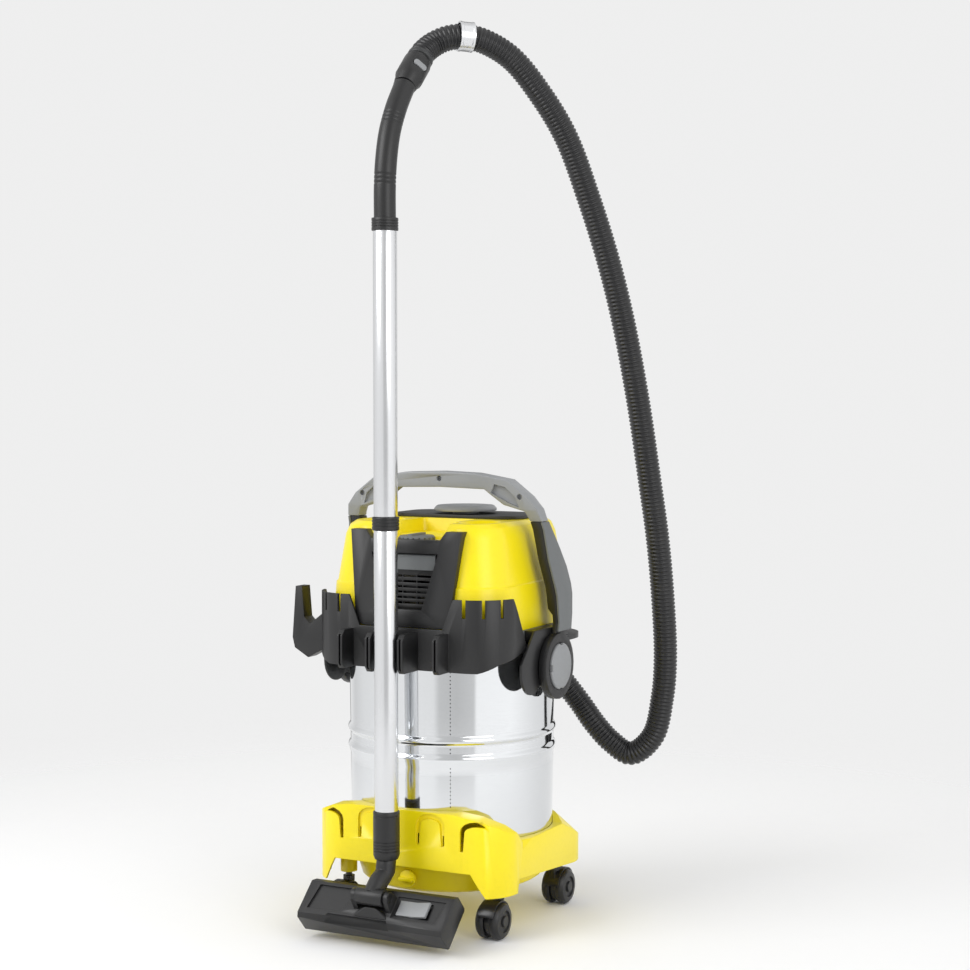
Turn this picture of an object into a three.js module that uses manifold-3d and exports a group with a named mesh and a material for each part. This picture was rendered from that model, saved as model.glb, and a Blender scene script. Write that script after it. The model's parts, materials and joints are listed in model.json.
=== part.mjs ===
// Wet and dry shop vacuum on four castors, with its wand parked at the front.
// Millimetres. +Z is up, the wand stands on the -Y side, and the floor is z = 0.
// The origin is on the floor in the middle of everything but the hose.
import * as THREE from "three";
import { mergeVertices } from "three/addons/utils/BufferGeometryUtils.js";
import Module from "manifold-3d";

const wasm = await Module();
wasm.setup();

// ---------- driving dimensions ----------
const DRUM_X = 11; // the drum's axis, from the origin
const DRUM_Y = 26;
const GAP = 0.4; // clearance between neighbouring pieces

// drum
const DRUM_TOP_R = 159;
const DRUM_TAPER = 4;
const DRUM_BOTTOM_R = DRUM_TOP_R - DRUM_TAPER;
const DRUM_WALL = 1.2;
const DRUM_BOTTOM_Z = 108;
const DRUM_TOP_Z = 430;
const BEAD_HEIGHTS = [265, 292];
const BEAD_RISE = 3;
const BEAD_HALF = 6;

// base
const BASE_HALF = DRUM_TOP_R + 4; // half the width of its rounded square
const BASE_CORNER = 60;
const BASE_WALL = 4;
const BASE_FRONT_TOP_Z = 189;
const BASE_SADDLE_Z = 141;
const BASE_REAR_TOP_Z = 147;
const FOOT_Z = 68;
const SKIRT_FRONT_Z = 88;
const SKIRT_REAR_Z = 71;
const FOOT_LENGTH = 63;
const ARCH_Z = 104;
const ARCH_HALF_TOP = BASE_HALF - 48;
const ARCH_HALF_BOTTOM = BASE_HALF - 27;
const DISH_Z = 62; // underside of the dish below the drum
const DISH_R = DRUM_BOTTOM_R - 15;

// castors
const WHEEL_R = 27;
const WHEEL_WIDTH = 15.5;
const FORK_WEB = 9;
const CASTOR_TRAIL = 16;
const CASTOR_X = BASE_HALF - 34;
const CASTOR_FRONT_Y = 66 - BASE_HALF;
const CASTOR_REAR_Y = BASE_HALF - 64;
const STEM_R = 5;
const AXLE_R = 3;
const SOCKET_R = 13;
const SOCKET_DEPTH = 34;

// accessory ring
const RING_HALF = DRUM_TOP_R + 4;
const RING_CORNER = 62;
const RING_WALL = 3.5;
const RING_BOTTOM_Z = 398;
const RING_SIDE_Z = 423;
const RING_FLANGE_Z = 431;
const SADDLE_Z = 459.6;
const WING_TOP_Z = 505;
const WING_X = 88; // where each wing's top starts on the front
const WING_END_Y = 50 - RING_HALF;
const POST_X = [-84, -28, 26, 76];
const POST_WIDTH = 9;
const POST_TOP_Z = 455;
const POST_REACH = 48; // from the ring's front to the inner posts' tips
const OUTER_POST_REACH = 34;

// head
const SEAL_HEIGHT = 3.6;
const TRAY_HALF = DRUM_TOP_R - 7;
const TRAY_Z = 434.4;
const TRAY_TOP_Z = 452;
const SHELL_HALF = TRAY_HALF - 2;
const SHELL_TOP_Z = 612;
const SHELL_WALL = 3;
const HEAD_CORNER = 60;
const MOTOR_Y = 25;
const MOTOR_R = 48;
const FAN_R = 62;
const SHAFT_R = 5;

// front panel
const PANEL_TOP_Z = 602;
const PANEL_BOTTOM_Z = 460;
const PANEL_TOP_HALF = 93;
const PANEL_BOTTOM_HALF = 79;
const PANEL_TOP_Y = 3 - SHELL_HALF;
const PANEL_BOTTOM_Y = -SHELL_HALF - 9;
const WINDOW_TOP_Z = 569;
const WINDOW_BOTTOM_Z = 486;
const WINDOW_TOP_HALF = 56;
const WINDOW_BOTTOM_HALF = 32;
const GRILLE_Y = 16 - SHELL_HALF;

// carrying handle
const PIVOT_Y = 1;
const PIVOT_Z = 394;
const PIVOT_R = 50;
const PIVOT_PIN_R = 9;
const EAR_OUT = RING_HALF + 7;
const DISC_IN = EAR_OUT + 1.5;
const DISC_OUT = DISC_IN + 12.5;
const CAP_R = 35;
const STRIP = 4; // thickness of the arm's outer strip
const GRIP_END_Z = 613;

// wand
const WAND_Y = -RING_HALF - 42;
const TUBE_R = 17.5;
const TUBE_WALL = 1.2;
const TUBE_BOTTOM_Z = 160;
const TUBE_JOINT_Z = 616;
const TUBE_TOP_Z = 1046;
const SLEEVE_Z = 125;
const SLEEVE_TOP_Z = 195;
const SLEEVE_R = TUBE_R + 2;
const COLLAR_HALF = 9.5;
const COLLAR_R = TUBE_R + 2.5;
const GRIP_COLLAR_Z = TUBE_TOP_Z - 7;
const GRIP_COLLAR_TOP_Z = TUBE_TOP_Z + 11;
const GRIP_PIPE_R = 16;
const CUFF_R = 21;
const CUFF_LENGTH = 58;
const SWIVEL_LENGTH = 8;

// floor nozzle, which leans with its lower edge down
const NOZZLE_X = -3;
const NOZZLE_Y = WAND_Y - 28;
const NOZZLE_LIFT = 12; // it hangs from the clipped wand, clear of the floor
const NOZZLE_TILT = THREE.MathUtils.degToRad(43);
const NOZZLE_HALF_WIDTH = 120;
const NOZZLE_HALF_LENGTH = 35;
const NOZZLE_HEIGHT = 40;
const LIP = 2;
const HINGE_UP = 17; // the neck's pin, above the nozzle's top face
const HINGE_BACK = 2;

// hose
const HOSE_R = 19;
const BAND_LENGTH = 22;

// inlet elbow behind the right pivot
const INLET_ANGLE = THREE.MathUtils.degToRad(70);
const INLET_Z = 385;
const INLET_R = 21;

// ---------- colours ----------
const YELLOW = material(0xf2e21c, 0.42, 0);
const BLACK = material(0x242424, 0.55, 0);
const DARK = material(0x3a3b3b, 0.5, 0);
const GREY = material(0x6b6e6e, 0.5, 0);
const LIGHT = material(0x9a9c9d, 0.48, 0);
const STEEL = material(0xd4d6d8, 0.12, 1);
const CHROME = material(0xd8d9da, 0.22, 1);
const RUBBER = material(0x161616, 0.8, 0);
const PAPER = material(0xd9d2b8, 0.9, 0);
const COPPER = material(0x9a5a30, 0.4, 1);

function material(color, roughness, metalness) {
  return new THREE.MeshStandardMaterial({ color, roughness, metalness });
}

// ---------- helpers ----------
function solid(geometry) {
  const bare = geometry.clone();
  bare.deleteAttribute("normal");
  bare.deleteAttribute("uv");
  const merged = mergeVertices(bare, 1e-4);
  return new wasm.Manifold(new wasm.Mesh({
    numProp: 3,
    vertProperties: Float32Array.from(merged.attributes.position.array),
    triVerts: Uint32Array.from(merged.index.array),
  }));
}

function geometryOf(body) {
  const mesh = body.getMesh();
  const geometry = new THREE.BufferGeometry();
  geometry.setAttribute("position", new THREE.BufferAttribute(mesh.vertProperties, 3));
  geometry.setIndex(new THREE.BufferAttribute(mesh.triVerts, 1));
  geometry.computeVertexNormals();
  return geometry;
}

function joined(first, ...rest) {
  return rest.reduce((body, other) => body.add(other), first);
}

function cut(first, ...rest) {
  return rest.reduce((body, other) => body.subtract(other), first);
}

function box(x0, x1, y0, y1, z0, z1) {
  const geometry = new THREE.BoxGeometry(x1 - x0, y1 - y0, z1 - z0);
  geometry.translate((x0 + x1) / 2, (y0 + y1) / 2, (z0 + z1) / 2);
  return geometry;
}

// An arc is drawn with twice its curve segments.
function extruded(shape, depth, curveSegments = 5) {
  return new THREE.ExtrudeGeometry(shape, { depth, bevelEnabled: false, curveSegments });
}

function polygon(points) {
  return new THREE.Shape(points.map(([a, b]) => new THREE.Vector2(a, b)));
}

// A shape drawn in x and y, standing from z0 to z1.
function upright(shape, z0, z1, curveSegments) {
  return extruded(shape, z1 - z0, curveSegments).translate(0, 0, z0);
}

// A shape drawn in y and z, lying from x0 to x1.
function acrossX(shape, x0, x1, curveSegments) {
  const turn = new THREE.Matrix4().makeBasis(
    new THREE.Vector3(0, 1, 0), new THREE.Vector3(0, 0, 1), new THREE.Vector3(1, 0, 0));
  return extruded(shape, x1 - x0, curveSegments).applyMatrix4(turn).translate(x0, 0, 0);
}

// A shape drawn in x and z, lying from y0 to y1.
function acrossY(shape, y0, y1, curveSegments) {
  return extruded(shape, y1 - y0, curveSegments).rotateX(Math.PI / 2).translate(0, y1, 0);
}

// A profile of [radius, z] points turned about Z, whichever way round it is listed.
function turned(profile, segments = 24) {
  const closed = [...profile, profile[0]];
  const area = closed.slice(1).reduce(
    (sum, [r, z], i) => sum + closed[i][0] * z - r * closed[i][1], 0);
  const onAxis = profile[0][0] === 0 && profile.at(-1)[0] === 0;
  const points = (onAxis ? profile : closed).map(([r, z]) => new THREE.Vector2(r, z));
  if (area < 0) points.reverse();
  return new THREE.LatheGeometry(points, segments).rotateX(Math.PI / 2);
}

function cylinder(radius, z0, z1, segments = 20) {
  return turned([[0, z0], [radius, z0], [radius, z1], [0, z1]], segments);
}

function pipe(inner, outer, z0, z1, segments = 24) {
  return turned([[inner, z0], [outer, z0], [outer, z1], [inner, z1]], segments);
}

function cylinderX(radius, x0, x1, y, z, segments = 16) {
  return cylinder(radius, x0, x1, segments).rotateY(Math.PI / 2).translate(0, y, z);
}

function cylinderY(radius, y0, y1, x, z, segments = 16) {
  return cylinder(radius, -y1, -y0, segments).rotateX(Math.PI / 2).translate(x, 0, z);
}

function roundedRectangle(x0, x1, y0, y1, radius) {
  const shape = new THREE.Shape();
  shape.absarc(x1 - radius, y1 - radius, radius, 0, Math.PI / 2);
  shape.absarc(x0 + radius, y1 - radius, radius, Math.PI / 2, Math.PI);
  shape.absarc(x0 + radius, y0 + radius, radius, Math.PI, 1.5 * Math.PI);
  shape.absarc(x1 - radius, y0 + radius, radius, 1.5 * Math.PI, 2 * Math.PI);
  shape.closePath();
  return shape;
}

function roundedSquare(half, radius) {
  return roundedRectangle(-half, half, -half, half, radius);
}

// A closed skin through rounded squares, each given as [z, half width, corner radius].
function lofted(sections, arcSteps = 5) {
  const rings = sections.map(([z, half, radius]) => {
    const points = roundedSquare(half, radius).getPoints(arcSteps).slice(0, -1);
    return points.filter((p, i) => i === 0 || p.distanceTo(points[i - 1]) > 1e-6)
      .map((p) => [p.x, p.y, z]);
  });
  const count = rings[0].length;
  const positions = rings.flat(2);
  const index = [];
  for (let ring = 0; ring + 1 < rings.length; ring++) {
    for (let i = 0; i < count; i++) {
      const a = ring * count + i;
      const b = ring * count + ((i + 1) % count);
      index.push(a, b, b + count, a, b + count, a + count);
    }
  }
  const top = (rings.length - 1) * count;
  for (let i = 1; i + 1 < count; i++) {
    index.push(0, i + 1, i, top, top + i, top + i + 1);
  }
  const geometry = new THREE.BufferGeometry();
  geometry.setAttribute("position", new THREE.Float32BufferAttribute(positions, 3));
  geometry.setIndex(index);
  return geometry;
}

function swept(points, radius, sides, steps) {
  const section = new THREE.Shape();
  section.absarc(0, 0, radius, 0, 2 * Math.PI);
  const path = new THREE.CatmullRomCurve3(points, false, "centripetal");
  return new THREE.ExtrudeGeometry(section,
    { steps, curveSegments: sides / 2, extrudePath: path, bevelEnabled: false });
}

function piece(name, geometry, look) {
  const mesh = new THREE.Mesh(geometry, look);
  mesh.name = name;
  return mesh;
}

// Places a mesh drawn along +Z so that it starts at a point and runs along a direction.
function aimed(mesh, start, direction) {
  mesh.position.copy(start);
  mesh.quaternion.setFromUnitVectors(new THREE.Vector3(0, 0, 1), direction.clone().normalize());
  return mesh;
}

// Everything within reach beyond a point, in a direction.
function beyond(start, direction) {
  const block = aimed(new THREE.Mesh(cylinder(60, 0, 60)), start, direction);
  block.updateMatrix();
  return solid(block.geometry.applyMatrix4(block.matrix));
}

function mirroredX(geometry) {
  const copy = geometry.clone().scale(-1, 1, 1);
  const index = copy.index ? copy.index.array : null;
  if (!index) {
    return mirroredX(mergeVertices(bareOf(geometry), 1e-4));
  }
  for (let i = 0; i < index.length; i += 3) {
    [index[i], index[i + 1]] = [index[i + 1], index[i]];
  }
  copy.computeVertexNormals();
  return copy;
}

function bareOf(geometry) {
  const bare = geometry.clone();
  bare.deleteAttribute("normal");
  bare.deleteAttribute("uv");
  return bare;
}

// ---------- drum ----------
function drumRadius(z) {
  const share = (z - DRUM_BOTTOM_Z) / (DRUM_TOP_Z - DRUM_BOTTOM_Z);
  return DRUM_BOTTOM_R + share * (DRUM_TOP_R - DRUM_BOTTOM_R);
}

function drum() {
  const wall = [];
  for (const z of BEAD_HEIGHTS) {
    wall.push([drumRadius(z - BEAD_HALF), z - BEAD_HALF]);
    wall.push([drumRadius(z) + BEAD_RISE, z]);
    wall.push([drumRadius(z + BEAD_HALF), z + BEAD_HALF]);
  }
  const outer = [[DRUM_BOTTOM_R - 6, DRUM_BOTTOM_Z], [DRUM_BOTTOM_R, DRUM_BOTTOM_Z + 6], ...wall,
    [DRUM_TOP_R, DRUM_TOP_Z]];
  const inner = outer.map(([r, z]) => [r - DRUM_WALL, z]).reverse();
  inner[inner.length - 1] = [DRUM_BOTTOM_R - 6 - DRUM_WALL, DRUM_BOTTOM_Z + DRUM_WALL];
  const profile = [[0, DRUM_BOTTOM_Z], ...outer, ...inner, [0, DRUM_BOTTOM_Z + DRUM_WALL]];
  return piece("drum", turned(profile, 40), STEEL);
}

function drumSeal() {
  const z = DRUM_TOP_Z + GAP;
  return piece("drum_seal", pipe(DRUM_TOP_R - 8, DRUM_TOP_R - 0.5, z, z + SEAL_HEIGHT, 48), RUBBER);
}

// ---------- base ----------
const CUP_R = drumRadius(BASE_FRONT_TOP_Z) + 0.6;
const PLUG_X = 6;
const PLUG_Z = 84;
const PLUG_R = 8;

// The base seen from its side, lowered by a depth to draw its hollow.
function baseSide(lower) {
  const slope = BASE_FRONT_TOP_Z - BASE_SADDLE_Z;
  const bottom = lower ? FOOT_Z - 20 : FOOT_Z;
  const skirtFront = lower ? bottom : SKIRT_FRONT_Z;
  const skirtRear = lower ? bottom : SKIRT_REAR_Z;
  return polygon([
    [-BASE_HALF, bottom], [-BASE_HALF + FOOT_LENGTH, bottom], [-BASE_HALF + FOOT_LENGTH + 5, skirtFront],
    [BASE_HALF - FOOT_LENGTH, skirtRear], [BASE_HALF, skirtRear], [BASE_HALF, BASE_REAR_TOP_Z - lower],
    [BASE_HALF / 2, BASE_REAR_TOP_Z - lower], [BASE_HALF / 2 - 20, BASE_SADDLE_Z - lower],
    [-BASE_HALF + 30 + slope, BASE_SADDLE_Z - lower], [-BASE_HALF + 30, BASE_FRONT_TOP_Z - lower],
    [-BASE_HALF, BASE_FRONT_TOP_Z - lower]]);
}

// The base seen from its front: its raised front falls away towards the corners.
function baseFront(lower) {
  const top = BASE_FRONT_TOP_Z - lower;
  const half = BASE_HALF + 1;
  return polygon([[-half, 0], [half, 0], [half, top - 31], [half - 14, top - 17], [half - 44, top - 5],
    [half - 84, top + 1], [84 - half, top + 1], [44 - half, top - 5], [14 - half, top - 17],
    [-half, top - 31]]);
}

// A flat cone that slopes the rear corners down, and leaves the front block alone.
function shoulder(lower) {
  const top = BASE_REAR_TOP_Z - lower;
  const cone = solid(turned([[0, 0], [BASE_HALF + 82, 0], [BASE_HALF + 82, top - 75],
    [BASE_HALF + 2, top], [BASE_HALF + 2, top + 10], [0, top + 10]], 36));
  const front = solid(box(-300, 300, -300, -BASE_HALF + 30 + 48, 0, 300));
  return cone.add(front);
}

function castorPlaces() {
  const places = [];
  for (const [end, stemY, way] of [["front", CASTOR_FRONT_Y, -1], ["rear", CASTOR_REAR_Y, 1]]) {
    for (const [side, x] of [["left", -CASTOR_X], ["right", CASTOR_X]]) {
      places.push({ name: `${end}_${side}`, x, stemY, axleY: stemY + way * CASTOR_TRAIL });
    }
  }
  return places;
}

function baseShell() {
  const body = (inset, lower) => solid(
    upright(roundedSquare(BASE_HALF - inset, BASE_CORNER - inset), 40, 200, 5))
    .intersect(solid(acrossX(baseSide(lower), -200, 200)))
    .intersect(solid(acrossY(baseFront(lower), -200, 200)))
    .intersect(shoulder(lower));
  const arch = solid(acrossY(polygon([
    [-ARCH_HALF_BOTTOM, FOOT_Z - 30], [ARCH_HALF_BOTTOM, FOOT_Z - 30], [ARCH_HALF_BOTTOM, FOOT_Z],
    [ARCH_HALF_TOP, ARCH_Z], [-ARCH_HALF_TOP, ARCH_Z], [-ARCH_HALF_BOTTOM, FOOT_Z]]), -200, 200));
  return cut(body(0, 0), body(BASE_WALL, 5), arch);
}

function dishRadius(z) {
  return DISH_R + 12 * (z - DISH_Z) / (ARCH_Z - DISH_Z);
}

function base() {
  const seat = DRUM_BOTTOM_Z - GAP;
  const cup = solid(turned([[0, DISH_Z], [DISH_R - 6, DISH_Z], [DISH_R, DISH_Z + 4],
    [dishRadius(ARCH_Z), ARCH_Z], [CUP_R + 3, seat + 4], [CUP_R + 3, BASE_SADDLE_Z],
    [0, BASE_SADDLE_Z]], 36));
  const bore = solid(turned([[0, DISH_Z + BASE_WALL], [DISH_R - 9, DISH_Z + BASE_WALL],
    [dishRadius(ARCH_Z) - BASE_WALL, ARCH_Z], [dishRadius(ARCH_Z) - BASE_WALL, seat],
    [CUP_R - 5, seat], [CUP_R, seat + 8], [CUP_R, 300], [0, 300]], 36));
  const sockets = castorPlaces().map(
    ({ x, stemY }) => solid(cylinder(SOCKET_R, FOOT_Z + 1, BASE_SADDLE_Z - 8, 16)
      .translate(x, stemY, 0)));
  const stems = castorPlaces().map(
    ({ x, stemY }) => solid(cylinder(STEM_R + GAP, FOOT_Z - 5, FOOT_Z + SOCKET_DEPTH + 1, 16)
      .translate(x, stemY, 0)));
  const plugHole = solid(cylinderY(PLUG_R + GAP, -200, -100, PLUG_X, PLUG_Z));
  const whole = joined(baseShell(), cup, ...sockets);
  return piece("base", geometryOf(cut(whole, bore, ...stems, plugHole)), YELLOW);
}

function drainPlug() {
  const wall = -dishRadius(PLUG_Z + PLUG_R) - 1;
  const knob = solid(cylinderY(PLUG_R + 5, wall - 5, wall - GAP, PLUG_X, PLUG_Z));
  const shank = solid(cylinderY(PLUG_R, wall - 2, wall + 9, PLUG_X, PLUG_Z));
  const grip = solid(box(PLUG_X - 11, PLUG_X + 11, wall - 13, wall - 4, PLUG_Z - 2.5, PLUG_Z + 2.5));
  return piece("drain_plug", geometryOf(joined(knob, shank, grip)), YELLOW);
}

// ---------- castors ----------
// Each is drawn with its axle through the origin and its stem behind, at +Y * way.
function castorFork(way) {
  const stemY = -way * CASTOR_TRAIL;
  const guard = new THREE.Shape();
  const from = THREE.MathUtils.degToRad(way > 0 ? 20 : 10);
  const to = THREE.MathUtils.degToRad(way > 0 ? 170 : 160);
  guard.absarc(0, 0, WHEEL_R + 3.2, from, to);
  guard.absarc(0, 0, WHEEL_R + 0.8, to, from, true);
  guard.closePath();
  const web = solid(cylinderX(WHEEL_R - 4, -FORK_WEB / 2, FORK_WEB / 2, 0, 0, 18));
  const neck = solid(acrossX(polygon([[stemY - 9, 10], [stemY + 9, 10], [stemY + 9, WHEEL_R + 5],
    [stemY - 9, WHEEL_R + 5]]), -FORK_WEB / 2, FORK_WEB / 2));
  const boss = solid(cylinder(9, WHEEL_R + 1, WHEEL_R + 8, 20).translate(0, stemY, 0));
  const clear = solid(cylinderX(WHEEL_R + 0.8, -WHEEL_WIDTH, WHEEL_WIDTH, 0, 0, 20))
    .subtract(solid(box(-FORK_WEB / 2, FORK_WEB / 2, -50, 50, -50, 50)));
  const stem = solid(cylinder(STEM_R, WHEEL_R, FOOT_Z + SOCKET_DEPTH - WHEEL_R, 16)
    .translate(0, stemY, 0));
  const hood = joined(solid(acrossX(guard, -13, 13, 6)), web, neck, boss);
  const axle = solid(cylinderX(AXLE_R + GAP, -20, 20, 0, 0, 16));
  return geometryOf(cut(hood, clear, axle).add(stem));
}

function castorWheels() {
  const inner = FORK_WEB / 2 + 0.6;
  const outer = inner + WHEEL_WIDTH;
  const wheel = [[0, inner], [WHEEL_R - 2, inner], [WHEEL_R, inner + 2], [WHEEL_R, outer - 5],
    [WHEEL_R - 3, outer - 2], [WHEEL_R - 11, outer], [0, outer]];
  const right = solid(turned(wheel, 20).rotateY(Math.PI / 2));
  const left = solid(turned(wheel, 20).rotateY(-Math.PI / 2));
  const axle = solid(cylinderX(AXLE_R, -outer + 2, outer - 2, 0, 0, 16));
  return geometryOf(joined(axle, right, left));
}

function castors() {
  const group = new THREE.Group();
  for (const { name, x, stemY, axleY } of castorPlaces()) {
    const fork = piece(`castor_fork_${name}`, castorFork(Math.sign(axleY - stemY)), BLACK);
    const wheels = piece(`castor_wheels_${name}`, castorWheels(), BLACK);
    for (const mesh of [fork, wheels]) {
      mesh.position.set(x, axleY, WHEEL_R);
      group.add(mesh);
    }
  }
  return group;
}

// ---------- accessory ring ----------
function ringWall() {
  const high = WING_TOP_Z + 1;
  const outline = roundedSquare(RING_HALF, RING_CORNER);
  const hole = roundedSquare(RING_HALF - RING_WALL, RING_CORNER - RING_WALL);
  const tube = cut(solid(upright(outline, RING_BOTTOM_Z, WING_TOP_Z, 6)),
    solid(upright(hole, RING_BOTTOM_Z - 1, high, 6)));
  const overFront = solid(acrossY(polygon([[-WING_X, high], [-WING_X + 18, SADDLE_Z],
    [WING_X - 18, SADDLE_Z], [WING_X, high]]), -300, WING_END_Y + 5));
  const behind = solid(acrossX(polygon([[WING_END_Y, high], [WING_END_Y + 42, RING_FLANGE_Z],
    [300, RING_FLANGE_Z], [300, high]]), -300, 300));
  const under = solid(acrossX(polygon([[-300, 300], [300, 300], [300, RING_SIDE_Z],
    [WING_END_Y + 25, RING_SIDE_Z], [WING_END_Y - 25, RING_BOTTOM_Z + 12],
    [-RING_HALF + 5, RING_BOTTOM_Z], [-300, RING_BOTTOM_Z]]),
  -300, 300));
  return cut(tube, overFront, behind, under);
}

function clipPost(x) {
  const tip = -RING_HALF - (Math.abs(x) < 50 ? POST_REACH : OUTER_POST_REACH);
  const wall = -RING_HALF + 1;
  return solid(acrossX(polygon([[wall, RING_BOTTOM_Z], [tip + 6, RING_BOTTOM_Z],
    [tip, RING_BOTTOM_Z + 8], [tip, POST_TOP_Z - 8], [tip + 8, POST_TOP_Z], [wall, POST_TOP_Z]]),
  x - POST_WIDTH / 2, x + POST_WIDTH / 2));
}

function cableHook() {
  const side = -RING_HALF + 8;
  return solid(acrossY(polygon([[side, RING_BOTTOM_Z + 16], [side - 27, RING_BOTTOM_Z + 2],
    [side - 51, 414], [side - 55, 430], [side - 49, 509], [side - 38, 509], [side - 34, 462],
    [side - 24, 452], [side - 13, 460], [side, 470]]), -128, -104.5));
}

function accessoryRing() {
  const flange = cut(solid(upright(roundedSquare(RING_HALF, RING_CORNER), RING_SIDE_Z,
    RING_FLANGE_Z, 6)), solid(cylinder(DRUM_TOP_R + 0.6, 300, 600, 48)));
  const slots = [];
  for (const side of [-1, 1]) {
    slots.push(solid(box(side * 53.5 - 1.5, side * 53.5 + 1.5, -170, -150, 390, 412)));
    for (const degrees of [41, 49, 57]) {
      const slot = box(120, 260, -2.5, 2.5, 478, 520);
      slots.push(solid(slot.rotateZ(THREE.MathUtils.degToRad(side > 0 ? -degrees : degrees - 180))));
    }
  }
  const ring = joined(ringWall(), flange, cableHook(), ...POST_X.map(clipPost));
  return piece("accessory_ring", geometryOf(cut(ring, ...slots)), BLACK);
}

// ---------- head ----------
// The head's outside, grown by an amount: a tapering rounded square with a crease.
function headSkin(grow, z0, top) {
  const rows = [[TRAY_TOP_Z, SHELL_HALF, HEAD_CORNER], [519, SHELL_HALF - 4, HEAD_CORNER],
    [521, SHELL_HALF - 6, HEAD_CORNER], [592, SHELL_HALF - 16, HEAD_CORNER - 4],
    [606, SHELL_HALF - 22, HEAD_CORNER - 8], [SHELL_TOP_Z, SHELL_HALF - 30, HEAD_CORNER - 12]];
  return rows.map(([z, half, radius], i) => [
    i === 0 ? z0 : Math.min(z, top - (rows.length - 1 - i) * 0.5), half + grow, radius + grow]);
}

function headShell() {
  const outside = solid(lofted(headSkin(0, TRAY_TOP_Z + GAP, SHELL_TOP_Z)));
  const inside = solid(lofted(headSkin(-SHELL_WALL, TRAY_TOP_Z - 5, DIAL_Z - 3.5)));
  const ledge = solid(box(-60, 60, -200, LEDGE_END_Y, DIAL_Z - GAP, 700));
  const tray = solid(upright(roundedRectangle(-46, 46, LEDGE_END_Y - 9, -6, 8), 592, 700));
  const bowls = [-1, 1].map((side) => solid(turned([[0, 596], [22, 598], [30, 612], [30, 700],
    [0, 700]], 20).scale(1, 1.35, 1).translate(side * (SHELL_HALF - 68), -66, 0)));
  const opening = solid(acrossY(windowShape(4), -200, -100));
  const gland = solid(cylinderY(GLAND_R + GAP, 100, 200, GLAND_X, GLAND_Z));
  const dialHole = solid(cylinder(6 + GAP, 500, 700, 16).translate(0, DIAL_Y, 0));
  return piece("head_shell",
    geometryOf(cut(outside, inside, ledge, tray, ...bowls, opening, gland, dialHole)), YELLOW);
}

function headTray() {
  const outline = roundedSquare(TRAY_HALF, HEAD_CORNER + 2);
  const inner = roundedSquare(TRAY_HALF - 5, HEAD_CORNER - 3);
  const hole = solid(cylinder(30, 400, 500).translate(0, MOTOR_Y, 0));
  const tray = cut(solid(upright(outline, TRAY_Z, TRAY_TOP_Z)),
    solid(upright(inner, TRAY_Z + 5, TRAY_TOP_Z + 5)), hole);
  return piece("head_tray", geometryOf(tray), GREY);
}

const GLAND_R = 7;
const GLAND_X = -70;
const GLAND_Z = 476;

function cordGland() {
  const wall = SHELL_HALF - 1;
  const profile = [[3.5, 0], [GLAND_R, 0], [GLAND_R, 8.5], [11, 8.5], [9, 13], [6, 24], [3.5, 24]];
  const gland = turned(profile, 20).rotateX(-Math.PI / 2).translate(GLAND_X, wall - 8, GLAND_Z);
  return piece("cord_gland", gland, RUBBER);
}

const PLATE_Z = SHELL_TOP_Z + GAP;
const PLATE_TOP_Z = PLATE_Z + 5;
const CAP_Y = 45;
const CAP_TRAVEL = 4;

function topPlate() {
  const plate = solid(upright(roundedRectangle(-112, 112, -2, 112, 34), PLATE_Z, PLATE_TOP_Z));
  const well = solid(cylinder(20 + GAP, 600, 700).translate(0, CAP_Y, 0));
  return piece("top_plate", geometryOf(plate.subtract(well)), DARK);
}

function topCap() {
  const low = PLATE_TOP_Z + CAP_TRAVEL + GAP;
  const cap = [[0, PLATE_Z + CAP_TRAVEL + GAP], [20, PLATE_Z + CAP_TRAVEL + GAP], [20, low],
    [49, low], [49, low + 3], [44, low + 8], [0, low + 8]];
  return piece("top_cap", turned(cap, 28).translate(0, CAP_Y, 0), LIGHT);
}

const DIAL_Y = -112;
const DIAL_R = 28;
const DIAL_Z = 586;
const LEDGE_END_Y = DIAL_Y + DIAL_R + 3;

function powerDial() {
  const dial = [[0, DIAL_Z - 9], [6, DIAL_Z - 9], [6, DIAL_Z], [DIAL_R, DIAL_Z], [DIAL_R, DIAL_Z + 4],
    [DIAL_R - 3, DIAL_Z + 7], [0, DIAL_Z + 7]];
  const knob = solid(turned(dial, 28).translate(0, DIAL_Y, 0));
  const bar = solid(box(-3.5, 3.5, DIAL_Y - DIAL_R + 6, DIAL_Y + DIAL_R - 6, DIAL_Z + 6, DIAL_Z + 10));
  return piece("power_dial", geometryOf(joined(knob, bar)), GREY);
}

// ---------- front panel, grille and catch ----------
function windowShape(grow) {
  return polygon([[-WINDOW_BOTTOM_HALF - grow, WINDOW_BOTTOM_Z - grow],
    [WINDOW_BOTTOM_HALF + grow, WINDOW_BOTTOM_Z - grow],
    [WINDOW_TOP_HALF + grow, WINDOW_TOP_Z + grow], [-WINDOW_TOP_HALF - grow, WINDOW_TOP_Z + grow]]);
}

function panelOutline() {
  const outline = new THREE.Shape();
  outline.moveTo(-PANEL_TOP_HALF, PANEL_TOP_Z);
  outline.lineTo(-PANEL_BOTTOM_HALF - 1, PANEL_BOTTOM_Z + 18);
  outline.quadraticCurveTo(-PANEL_BOTTOM_HALF, PANEL_BOTTOM_Z, -PANEL_BOTTOM_HALF + 18, PANEL_BOTTOM_Z);
  outline.lineTo(PANEL_BOTTOM_HALF - 18, PANEL_BOTTOM_Z);
  outline.quadraticCurveTo(PANEL_BOTTOM_HALF, PANEL_BOTTOM_Z, PANEL_BOTTOM_HALF + 1, PANEL_BOTTOM_Z + 18);
  outline.lineTo(PANEL_TOP_HALF, PANEL_TOP_Z);
  outline.lineTo(68, PANEL_TOP_Z);
  outline.lineTo(58, PANEL_TOP_Z - 13);
  outline.lineTo(-58, PANEL_TOP_Z - 13);
  outline.lineTo(-68, PANEL_TOP_Z);
  outline.closePath();
  return outline;
}

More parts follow.
